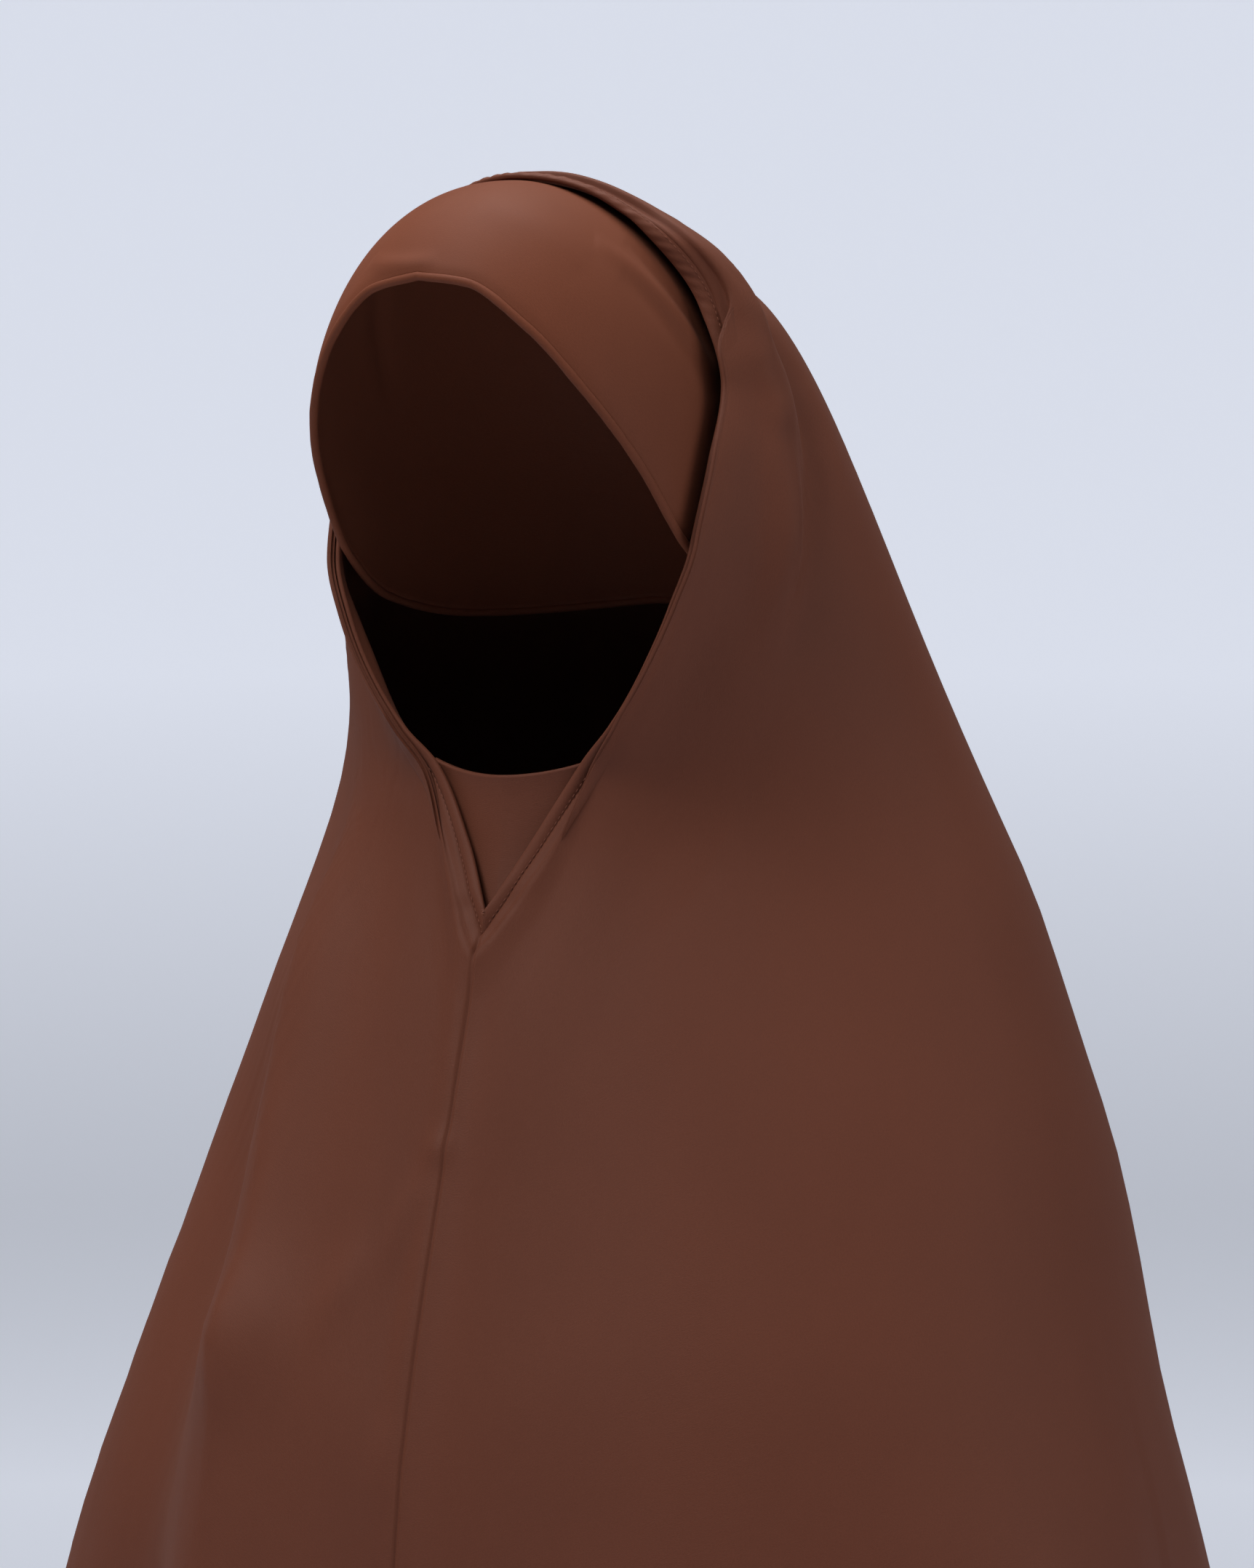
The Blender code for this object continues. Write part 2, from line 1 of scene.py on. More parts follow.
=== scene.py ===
"""A khimar veil as worn, laid out as a Blender add-on: each operator makes one piece of it.

Metres, +Z up. The wearer faces -Y and the wearer's left is +X. The origin is the crown of the head.
"""

from math import cos, pi, radians, sin

import bpy
import numpy as np
from mathutils import Matrix, Vector


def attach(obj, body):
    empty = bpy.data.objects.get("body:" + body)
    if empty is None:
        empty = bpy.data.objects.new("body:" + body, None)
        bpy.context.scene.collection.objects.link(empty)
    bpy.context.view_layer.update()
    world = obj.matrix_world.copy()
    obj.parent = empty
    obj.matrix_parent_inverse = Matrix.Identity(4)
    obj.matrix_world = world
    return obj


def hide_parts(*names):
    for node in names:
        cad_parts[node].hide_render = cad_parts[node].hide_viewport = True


bl_info = {
    "name": "Khimar Veil",
    "version": (1, 0, 0),
    "blender": (4, 5, 0),
    "location": "View3D > Sidebar > Veil",
    "description": "Drapes a khimar veil with its face hem, forehead band, neck panel and stitches",
    "category": "Add Mesh",
}

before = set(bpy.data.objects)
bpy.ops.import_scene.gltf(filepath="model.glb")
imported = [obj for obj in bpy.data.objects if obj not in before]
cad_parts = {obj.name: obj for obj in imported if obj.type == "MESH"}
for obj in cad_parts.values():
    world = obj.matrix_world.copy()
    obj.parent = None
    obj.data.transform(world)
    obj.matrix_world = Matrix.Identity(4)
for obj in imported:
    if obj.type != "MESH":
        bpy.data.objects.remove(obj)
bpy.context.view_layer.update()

# The head that the veil fits, measured over the band's cloth
HEAD_WIDTH = 0.149
HEAD_DEPTH = 0.186
CROWN_TO_CHIN = 0.225
CROWN_HEIGHT = 0.108

# The veil as it hangs
VEIL_LENGTH = 0.98
SHOULDER_WIDTH = 0.40
CHEST_DEPTH = 0.24
NECKLINE_DROP = 0.272

# Cloth walls and the layers over the crown
CLOTH_WALL = 0.0016
HEM_WALL = 0.0022
BAND_WALL = 0.0015
CLEARANCE = 0.0003
LAYER_LIFT = BAND_WALL + CLEARANCE + HEM_WALL

# The neckline's inner panel
PANEL_TOP_DROP = 0.218
PANEL_SAG = 0.006
PANEL_BELOW_NECKLINE = 0.024
PANEL_TUCK = 0.011
PANEL_GAP = 0.0024
PANEL_BACK = 0.0015

# The face hem's soft crown and the tiny gathers across it
HEM_CROWN = 0.0007
GATHER_HEIGHT = 0.00022
STRIP_SQUARENESS = 0.5

# The neckline's point, where the hem's left arm laps over the right one under a few crossed stitches.
# The lap's width and step are shares of a turn.
LAP_HEIGHT = 0.0007
LAP_WIDTH = 0.008
LAP_STEP = 0.0012
TACK_STITCHES = 3
TACK_LEAN = 0.30

# The band's rolled edge
BAND_EDGE_RADIUS = 0.0016
BAND_EDGE_PROUD = 0.0004
BAND_EDGE_PUCKER = 0.022

# The studio
VIEW_HEIGHT = -0.222
VIEW_SHIFT = 0.0347
VIEW_FOCUS = 6642
FLOOR_LEVEL = -0.979
FLOOR_RADIUS = 6.8
WALL_BEND = 3.2

# The studio's lights. Columns: name, distance towards the camera, to its right and above the object,
# size, and power / the key light's.
LIGHTS = (
    ("Key Light", 1.2, -1.5, 2.8, 1.6, 1.00),
    ("Fill Light", 1.0, 2.4, 0.6, 2.0, 0.25),
    ("Top Light", -0.6, 0.0, 2.8, 1.8, 0.70),
)

# The backdrop's glow as the camera sees it, at the floor's level and a metre above, with the share of it
# that is left beside the object and the distances between which it grows
FLOOR_GLOW = 0.61
WALL_GLOW = 0.95
NEAR_GLOW_SHARE = 0.0
NEAR_FLOOR = 1.3
FAR_FLOOR = 3.6

# Shares without a unit, as in the solids
BROW_ROUNDNESS = 2.6
HEAD_ROUNDNESS = 2.35
RING_SOFTNESS_SHARE = 0.018
RING_SOFTNESS_REACH = 0.10
EDGE_SETTLE_REACH = 0.03
LEAST_SECTION_SHARE = 0.12
LENGTH_WITH_SPARE = 1.05
BAND_TOP_ANGLE = 0.42
BAND_TOP_SHIFT_ANGLE = 0.40
BAND_TUCK_ANGLE = 0.012
EDGE_CALM = 0.007

# Mesh densities
VEIL_COLUMNS = 392
SEAM_COLUMNS_SHARE = 0.10
SEAM_DENSE_SIDE = 0.004
SKIRT_ROWS = 44
SKIRT_CROWDING = 1.25
LOWER_HEM_ROWS = 6
BAND_COLUMNS = 420
BAND_ROWS = 60
PANEL_COLUMNS = 90
PANEL_ROWS = 80
HEM_COLUMNS = 700
HEM_ROWS = 20
BEAD_POINTS = 14
SURFACE_STEPS = 1200
REACH_STEPS = 900
TRACK_POINTS = 400
FOLD_POINTS = 48
FRONT_BLEND_STEPS = 6
FRONT_BLEND_SPAN = 20
TINY = 1e-6
SMALL_SHARE = 8e-4

# The hood's level sections. Columns: drop / CROWN_TO_CHIN, half width / HEAD_WIDTH, then the y of its
# widest point and of its back / HEAD_DEPTH, and the roundness of its front and back halves.
HOOD_SECTIONS = (
    (0.000, 0.000, 0.00, 0.022, 2.0, 2.0),
    (0.018, 0.148, 0.00, 0.141, 2.0, 2.0),
    (0.045, 0.238, 0.00, 0.228, 2.0, 2.0),
    (0.090, 0.366, 0.01, 0.362, 2.0, 2.0),
    (0.145, 0.462, 0.04, 0.482, 2.0, 2.0),
    (0.285, 0.572, 0.13, 0.680, 1.9, 2.0),
    (0.430, 0.648, 0.25, 0.708, 1.7, 2.0),
    (0.620, 0.731, 0.35, 0.776, 1.5, 2.1),
    (0.840, 0.832, 0.41, 0.900, 1.4, 2.2),
)

# The level sections below the chin. Columns: fall / length below the chin, half width / SHOULDER_WIDTH,
# then the y of its front, widest point and back / CHEST_DEPTH, and the roundness of front and back.
BODY_SECTIONS = (
    (0.000, 0.340, -0.100, 0.340, 0.770, 1.45, 2.3),
    (0.060, 0.386, -0.142, 0.350, 0.860, 1.50, 2.3),
    (0.100, 0.410, -0.188, 0.350, 0.900, 1.60, 2.3),
    (0.140, 0.434, -0.225, 0.345, 0.942, 1.70, 2.3),
    (0.180, 0.457, -0.258, 0.337, 0.995, 1.80, 2.3),
    (0.232, 0.480, -0.304, 0.320, 1.035, 1.90, 2.3),
    (0.298, 0.509, -0.360, 0.296, 1.050, 2.00, 2.3),
    (0.371, 0.550, -0.398, 0.275, 1.067, 2.00, 2.3),
    (0.560, 0.620, -0.470, 0.250, 1.150, 2.00, 2.2),
    (1.000, 0.750, -0.600, 0.230, 1.370, 2.00, 2.1),
)

# The edge of the face opening on one side, from the crown down to the point of the neckline.
# Columns: drop / NECKLINE_DROP, half width / HEAD_WIDTH, y / HEAD_DEPTH.
FACE_OPENING = (
    (0.002, 0.000, -0.105),
    (0.024, 0.200, -0.065),
    (0.088, 0.331, -0.020),
    (0.188, 0.451, 0.032),
    (0.285, 0.516, 0.030),
    (0.400, 0.530, -0.040),
    (0.515, 0.518, -0.095),
    (0.596, 0.470, -0.112),
    (0.673, 0.403, -0.118),
    (0.754, 0.302, -0.114),
    (0.801, 0.216, -0.104),
    (0.900, 0.100, -0.133),
    (1.000, 0.000, -0.190),
)

# The band's lower edge. Columns: turn from the forehead / half turn, drop / CROWN_TO_CHIN.
BAND_LOWER_EDGE = (
    (0.00, 0.176),
    (0.08, 0.191),
    (0.17, 0.268),
    (0.25, 0.371),
    (0.34, 0.485),
    (0.44, 0.600),
    (0.56, 0.667),
    (0.72, 0.690),
    (1.00, 0.667),
)

# The cloth beside the face, rolled and folded over its hem. Columns: mesh rows up to the next place,
# then distance from the edge and height, both / face hem width, at the neckline, cheek and crown.
EDGE_PROFILE = (
    (2, 0.54, -0.10, 0.54, -0.10, 0.60, -0.10),
    (2, 0.66, 0.04, 0.76, -0.02, 0.74, -0.02),
    (3, 0.82, 0.09, 0.98, 0.06, 0.90, -0.06),
    (3, 1.00, 0.13, 1.04, 0.20, 1.01, 0.00),
    (3, 1.10, 0.19, 0.82, 0.31, 1.04, 0.12),
    (3, 1.16, 0.24, 0.38, 0.35, 1.08, 0.23),
    (3, 1.24, 0.27, -0.02, 0.37, 1.20, 0.31),
    (3, 1.38, 0.26, -0.14, 0.44, 1.42, 0.33),
    (3, 1.62, 0.17, -0.05, 0.52, 1.76, 0.28),
    (3, 2.00, 0.03, 0.30, 0.57, 2.20, 0.20),
    (4, 2.55, -0.09, 0.90, 0.58, 2.72, 0.13),
    (5, 3.25, -0.11, 1.75, 0.53, 3.36, 0.07),
    (6, 4.10, -0.06, 2.80, 0.40, 4.14, 0.03),
    (7, 5.10, -0.02, 4.05, 0.22, 5.06, 0.00),
    (7, 6.10, 0.00, 5.50, 0.07, 6.04, 0.00),
    (0, 7.06, 0.00, 7.06, 0.00, 7.06, 0.00),
)

# The main folds. A place is (side, reach): side is the share of a turn from the front, positive to the
# wearer's left, and reach runs from 0 at the face to 1 at the lower hem. Columns: name, the first, middle
# and last place, width and height / the fold sizes, the share of it left at each end, and how far its
# crest leans away from the face / the fold height.
FOLDS = (
    ("ear fold left", (0.438, 0.024), (0.374, 0.015), (0.320, 0.020), 0.16, 0.17, 0.2, 0.5, 0.10),
    ("ear fold left lower", (0.320, 0.020), (0.280, 0.042), (0.226, 0.076), 0.22, 0.36, 0.25, 0.0, 0.20),
    ("ear fold right", (-0.440, 0.032), (-0.350, 0.037), (-0.225, 0.090), 0.28, 0.38, 0.1, 0.0, 0.36),
    ("ear valley left", (0.436, 0.050), (0.350, 0.044), (0.255, 0.080), 0.25, -0.44, 0.3, 0.0, 0.0),
    ("ear valley right", (-0.440, 0.062), (-0.360, 0.058), (-0.262, 0.095), 0.30, -0.34, 0.0, 0.0, 0.0),
    ("jaw valley left", (0.276, 0.034), (0.190, 0.028), (0.120, 0.045), 0.42, -0.24, 0.0, 0.0, 0.0),
    ("jaw valley right", (-0.270, 0.036), (-0.190, 0.030), (-0.130, 0.045), 0.46, -0.34, 0.0, 0.0, 0.0),
    ("front fold right", (-0.204, 0.060), (-0.148, 0.160), (-0.104, 0.300), 0.56, 0.62, 0.1, 0.6, 0.0),
    ("front fold right lower", (-0.104, 0.300), (-0.092, 0.640), (-0.096, 1.000), 0.66, 0.70, 0.6, 1.0, 0.0),
    ("side valley right", (-0.222, 0.200), (-0.176, 0.300), (-0.150, 0.480), 0.74, -0.70, 0.0, 0.6, 0.0),
    ("right valley lower", (-0.150, 0.480), (-0.146, 0.720), (-0.150, 1.000), 0.85, -0.62, 0.6, 1.0, 0.0),
    ("chest fold right", (-0.070, 0.225), (-0.030, 0.290), (0.020, 0.360), 0.50, 0.14, 0.0, 0.0, 0.0),
    ("front valley left", (0.070, 0.420), (0.062, 0.700), (0.060, 1.000), 0.85, -0.50, 0.0, 1.0, 0.0),
    ("front fold left", (0.112, 0.360), (0.112, 0.680), (0.116, 1.000), 0.90, 0.62, 0.0, 1.0, 0.0),
    ("side valley left", (0.172, 0.400), (0.170, 0.700), (0.166, 1.000), 0.80, -0.66, 0.0, 1.0, 0.0),
    ("side fold left", (0.222, 0.380), (0.222, 0.680), (0.218, 1.000), 0.95, 0.60, 0.0, 1.0, 0.0),
    ("side fold right", (-0.226, 0.290), (-0.214, 0.620), (-0.208, 1.000), 0.80, 0.56, 0.0, 1.0, 0.0),
    ("shoulder valley left", (0.286, 0.420), (0.280, 0.690), (0.276, 1.000), 0.80, -0.74, 0.0, 1.0, 0.0),
    ("shoulder valley right", (-0.278, 0.240), (-0.272, 0.600), (-0.268, 1.000), 0.80, -0.70, 0.0, 1.0, 0.0),
    ("back fold left", (0.345, 0.460), (0.338, 0.720), (0.330, 1.000), 0.90, 0.74, 0.0, 1.0, 0.0),
    ("back fold right", (-0.338, 0.180), (-0.330, 0.560), (-0.322, 1.000), 0.90, 0.76, 0.0, 1.0, 0.0),
    ("back valley left", (0.405, 0.180), (0.396, 0.560), (0.388, 1.000), 0.75, -0.80, 0.0, 1.0, 0.0),
    ("back valley right", (-0.392, 0.150), (-0.386, 0.560), (-0.376, 1.000), 0.75, -0.78, 0.0, 1.0, 0.0),
    ("back fold middle", (0.462, 0.120), (0.452, 0.520), (0.444, 1.000), 0.85, 0.82, 0.0, 1.0, 0.0),
    ("back fold inner", (-0.450, 0.140), (-0.440, 0.540), (-0.432, 1.000), 0.85, 0.78, 0.0, 1.0, 0.0),
    ("nape valley", (-0.498, 0.170), (-0.496, 0.560), (-0.492, 1.000), 0.75, -0.72, 0.0, 1.0, 0.0),
)

# Small folds that only show close by, in the same columns
SMALL_FOLDS = (
    ("seam pucker upper", (-0.030, 0.022), (-0.010, 0.062), (-0.006, 0.130), 0.16, 0.13, 0.2, 0.6, 0.0),
    ("seam pucker lower", (-0.006, 0.130), (-0.005, 0.210), (-0.006, 0.340), 0.16, 0.12, 0.6, 0.1, 0.0),
    ("seam hollow", (0.006, 0.020), (0.004, 0.070), (0.004, 0.160), 0.20, -0.05, 0.6, 0.0, 0.0),
    ("knot crease right", (-0.010, 0.016), (-0.024, 0.020), (-0.044, 0.034), 0.12, -0.08, 0.8, 0.0, 0.0),
    ("knot crease left", (0.010, 0.016), (0.026, 0.019), (0.050, 0.030), 0.12, -0.07, 0.8, 0.0, 0.0),
    ("cheek pleat one", (0.345, 0.012), (0.318, 0.020), (0.270, 0.030), 0.10, 0.050, 0.2, 0.0, 0.0),
    ("cheek pleat two", (0.352, 0.017), (0.325, 0.026), (0.285, 0.038), 0.10, 0.045, 0.2, 0.0, 0.0),
    ("cheek pleat three", (0.372, 0.014), (0.345, 0.024), (0.310, 0.029), 0.10, 0.040, 0.2, 0.0, 0.0),
    ("chest ripple one", (-0.010, 0.136), (-0.022, 0.175), (-0.031, 0.226), 0.15, 0.10, 0.1, 0.0, 0.0),
    ("chest ripple two", (-0.040, 0.196), (-0.052, 0.235), (-0.070, 0.275), 0.20, 0.12, 0.0, 0.0, 0.0),
    ("chest ripple three", (-0.002, 0.286), (-0.014, 0.298), (-0.028, 0.316), 0.15, 0.09, 0.3, 0.0, 0.0),
    ("right fold crest", (-0.206, 0.100), (-0.166, 0.152), (-0.124, 0.212), 0.13, 0.11, 0.0, 0.5, 0.0),
    ("right fold crest lower", (-0.124, 0.212), (-0.104, 0.300), (-0.094, 0.460), 0.13, 0.10, 0.5, 0.0, 0.0),
    ("right fold hollow", (-0.182, 0.150), (-0.142, 0.188), (-0.114, 0.270), 0.36, -0.10, 0.0, 0.0, 0.0),
)

# The band's wrinkles. Columns: the first, middle and last place as turn / half turn and
# drop / CROWN_TO_CHIN, then width and height / the band's wrinkle size.
BAND_WRINKLES = (
    ((0.300, 0.120), (0.430, 0.200), (0.560, 0.340), 1.3, 1.0),
    ((0.410, 0.110), (0.505, 0.200), (0.580, 0.300), 1.0, -0.9),
    ((0.340, 0.170), (0.440, 0.250), (0.540, 0.370), 1.6, -0.6),
    ((-0.300, 0.120), (-0.430, 0.210), (-0.560, 0.350), 1.4, 0.8),
    ((0.040, 0.060), (0.160, 0.090), (0.260, 0.170), 2.6, 0.5),
    ((-0.110, 0.150), (-0.040, 0.163), (0.030, 0.158), 0.9, 0.8),
)


def smooth_through(places, values, at):
    """Reads a monotone cubic through the rows at some places, and goes straight on past its ends."""
    places = np.asarray(places, float)
    values = np.asarray(values, float)
    single = values.ndim == 1
    if single:
        values = values[:, None]
    step = np.diff(places)[:, None]
    rise = np.diff(values, axis=0) / step
    slope = np.zeros_like(values)
    near, far = 2 * step[1:] + step[:-1], step[1:] + 2 * step[:-1]
    same_way = rise[1:] * rise[:-1] > 0
    before = np.where(same_way, rise[:-1], 1)
    after = np.where(same_way, rise[1:], 1)
    slope[1:-1] = np.where(same_way, (near + far) / (near / before + far / after), 0)
    slope[0], slope[-1] = rise[0], rise[-1]
    at = np.asarray(at, float)
    row = np.clip(np.searchsorted(places, at) - 1, 0, len(places) - 2)
    share = (at - places[row]) / step[row, 0]
    u = np.clip(share, 0, 1)[..., None]
    length = step[row]
    result = (
        (1 + 2 * u) * (1 - u) ** 2 * values[row]
        + u * (1 - u) ** 2 * length * slope[row]
        + u * u * (3 - 2 * u) * values[row + 1]
        + u * u * (u - 1) * length * slope[row + 1]
    )
    past = (share - np.clip(share, 0, 1))[..., None] * length
    result = result + past * np.where((share > 0.5)[..., None], slope[row + 1], slope[row])
    return result[..., 0] if single else result


def smoothstep(value):
    value = np.clip(value, 0, 1)
    return value * value * (3 - 2 * value)


def unit(vectors):
    return vectors / np.maximum(np.linalg.norm(vectors, axis=-1, keepdims=True), TINY**2)


def section_rows():
    """Rows of drop, half width, side y, back y, front roundness and back roundness, in metres."""
    rows = []
    for drop, half, side, back, front_round, back_round in HOOD_SECTIONS:
        rows.append(
            (drop * CROWN_TO_CHIN, half * HEAD_WIDTH, side * HEAD_DEPTH, back * HEAD_DEPTH)
            + (front_round, back_round)
        )
    for fall, half, _, side, back, front_round, back_round in BODY_SECTIONS:
        rows.append(
            (CROWN_TO_CHIN + fall * (VEIL_LENGTH - CROWN_TO_CHIN), half * SHOULDER_WIDTH)
            + (side * CHEST_DEPTH, back * CHEST_DEPTH, front_round, back_round)
        )
    return np.array(rows)


def opening_rows():
    """Rows of drop, half width and y of the face opening's edge, in metres."""
    return np.array(FACE_OPENING) * (NECKLINE_DROP, HEAD_WIDTH, HEAD_DEPTH)


def front_rows():
    """Rows of drop and y down the middle of the front, from the neckline's point to the lower hem."""
    rows = [(NECKLINE_DROP, FACE_OPENING[-1][2] * HEAD_DEPTH)]
    for fall, _, front, *_ in BODY_SECTIONS:
        drop = CROWN_TO_CHIN + fall * (VEIL_LENGTH - CROWN_TO_CHIN)
        if drop > NECKLINE_DROP + CLOTH_WALL:
            rows.append((drop, front * CHEST_DEPTH))
    return np.array(rows)


class Drape:
    """The veil's smooth outer surface: level sections from the crown to the hem, read at any angle."""

    def __init__(self):
        sections = section_rows()
        self.root = np.linspace(0, np.sqrt(VEIL_LENGTH * LENGTH_WITH_SPARE), SURFACE_STEPS)
        drop = self.root**2
        half, side, back, front_round, back_round = smooth_through(
            np.sqrt(sections[:, 0]), sections[:, 1:], self.root
        ).T
        front = self.front_of(drop, half, side, front_round)
        self.columns = np.stack([half, front, side, back, front_round, back_round], 1)
        self.find_reach()
        self.follow_opening()

    def front_of(self, drop, half, side, roundness):
        """The front's y: below the neckline from its rows, above it so that the edge is on the surface."""
        rows, edge = front_rows(), opening_rows()
        low = smooth_through(rows[:, 0], rows[:, 1], drop)
        level = np.clip(drop, edge[0, 0], NECKLINE_DROP)
        across = smooth_through(edge[:, 0], edge[:, 1], level)
        depth = smooth_through(edge[:, 0], edge[:, 2], level)
        taken = (np.abs(across) / np.maximum(half, TINY)) ** roundness
        left = np.clip(1 - taken, LEAST_SECTION_SHARE, 1)
        high = side - (side - depth) / left ** (1 / roundness)
        high = high * np.sqrt(np.clip(drop / edge[0, 0], 0, 1))
        front = np.where(drop < NECKLINE_DROP, high, low)
        steps = np.arange(-FRONT_BLEND_SPAN, FRONT_BLEND_SPAN + 1)
        kernel = np.exp(-0.5 * (steps / FRONT_BLEND_STEPS) ** 2)
        padded = np.pad(front, FRONT_BLEND_SPAN, mode="edge")
        return np.convolve(padded, kernel / kernel.sum(), "valid")

    def section(self, drop):
        root = np.sqrt(np.clip(drop, 0, VEIL_LENGTH * LENGTH_WITH_SPARE))
        return [np.interp(root, self.root, column) for column in self.columns.T]

    def point(self, turn, drop):
        """The surface point at an angle from the front (radians) and a drop below the crown."""
        half, front, side, back, front_round, back_round = self.section(drop)
        across, ahead = np.sin(turn), np.cos(turn)
        deep = np.maximum(np.where(ahead > 0, side - front, back - side), TINY)
        roundness = np.where(ahead > 0, front_round, back_round)
        sum_of_powers = (np.abs(across) / np.maximum(half, TINY)) ** roundness
        sum_of_powers = sum_of_powers + (np.abs(ahead) / deep) ** roundness
        radius = sum_of_powers ** (-1 / roundness)
        return np.stack([radius * across, side - radius * ahead, -drop], -1)

    def find_reach(self):
        """Pairs each drop with its distance from the crown along the cloth."""
        self.drops = np.linspace(0, 1, REACH_STEPS) ** 2 * VEIL_LENGTH
        half, front, _, back, *_ = self.section(self.drops)
        radius = np.sqrt(half * (back - front) / 2)
        run = np.hypot(np.diff(radius), np.diff(self.drops))
        self.reaches = np.concatenate([[0], np.cumsum(run)])

    def follow_opening(self):
        """The opening's edge from the crown to the neckline's point: its path, turn and reach."""
        edge = opening_rows()
        span = edge[-1, 0] - edge[0, 0]
        angle = np.linspace(0, pi, TRACK_POINTS)
        rows_angle = np.arccos(np.clip(1 - 2 * (edge[:, 0] - edge[0, 0]) / span, -1, 1))
        drop = edge[0, 0] + (1 - np.cos(angle)) / 2 * span
        rounded = smooth_through(rows_angle, edge[:, 1:], angle)
        straight = smooth_through(edge[:, 0], edge[:, 1:], drop)
        pointed = smoothstep((drop / NECKLINE_DROP - 0.75) / 0.10)[:, None]
        across, depth = (rounded + (straight - rounded) * pointed).T
        across[0] = across[-1] = 0
        self.edge = np.stack([across, depth, -drop], 1)
        self.edge_turn = np.arctan2(across, self.section(drop)[2] - depth)
        self.edge_reach = np.interp(drop, self.drops, self.reaches)
        run = np.linalg.norm(np.diff(self.edge, axis=0), axis=1)
        self.edge_share = np.concatenate([[0], np.cumsum(run)]) / run.sum()

    def edge_point(self, side):
        """The opening's edge at a share of a turn, 0 at the neckline's point and 0.5 at the crown."""
        share = 1 - 2 * np.abs(side)
        point = [np.interp(share, self.edge_share, values) for values in self.edge.T]
        point[0] = point[0] * np.where(side < 0, -1, 1)
        return np.stack(point, -1)

    def cloth(self, side, reach):
        """Points at sides (shares of a turn) and reaches (0 at the face, 1 at the lower hem)."""
        side = (side + 0.5) % 1 - 0.5
        share = 1 - 2 * np.abs(side)
        sign = np.where(side < 0, -1, 1)
        turn = np.interp(share, self.edge_share, self.edge_turn)
        start = np.interp(share, self.edge_share, self.edge_reach)
        end = self.reaches[-1]
        flat_x = (1 - reach) * start * np.sin(turn) * sign + reach * end * np.sin(2 * pi * side)
        flat_y = (1 - reach) * start * np.cos(turn) + reach * end * np.cos(2 * pi * side)
        drop = np.interp(np.hypot(flat_x, flat_y), self.reaches, self.drops)
        point = self.point(np.arctan2(flat_x, flat_y), drop)
        first = self.point(turn * sign, np.interp(start, self.reaches, self.drops))
        settle = np.exp(-((reach / EDGE_SETTLE_REACH) ** 2))
        return point + (self.edge_point(side) - first) * settle[..., None]

    def soft(self, side, reach):
        """The cloth with its sections' corners softened along each ring, as far as the face's edge."""
        sharp = self.cloth(side, reach)
        offsets = np.linspace(-3, 3, 13)
        weights = np.exp(-0.5 * offsets**2)
        weights /= weights.sum()
        mean = sum(
            w * self.cloth(side + o * RING_SOFTNESS_SHARE, reach) for w, o in zip(weights, offsets)
        )
        return sharp + (mean - sharp) * smoothstep(reach / RING_SOFTNESS_REACH)[..., None]


def bezier(first, middle, last, u):
    """A curve from the first place to the last that passes through the middle one halfway."""
    first, middle, last = (np.array(place)[None] for place in (first, middle, last))
    handle = 2 * middle - (first + last) / 2
    u = u[:, None]
    return (1 - u) ** 2 * first + 2 * u * (1 - u) * handle + u**2 * last


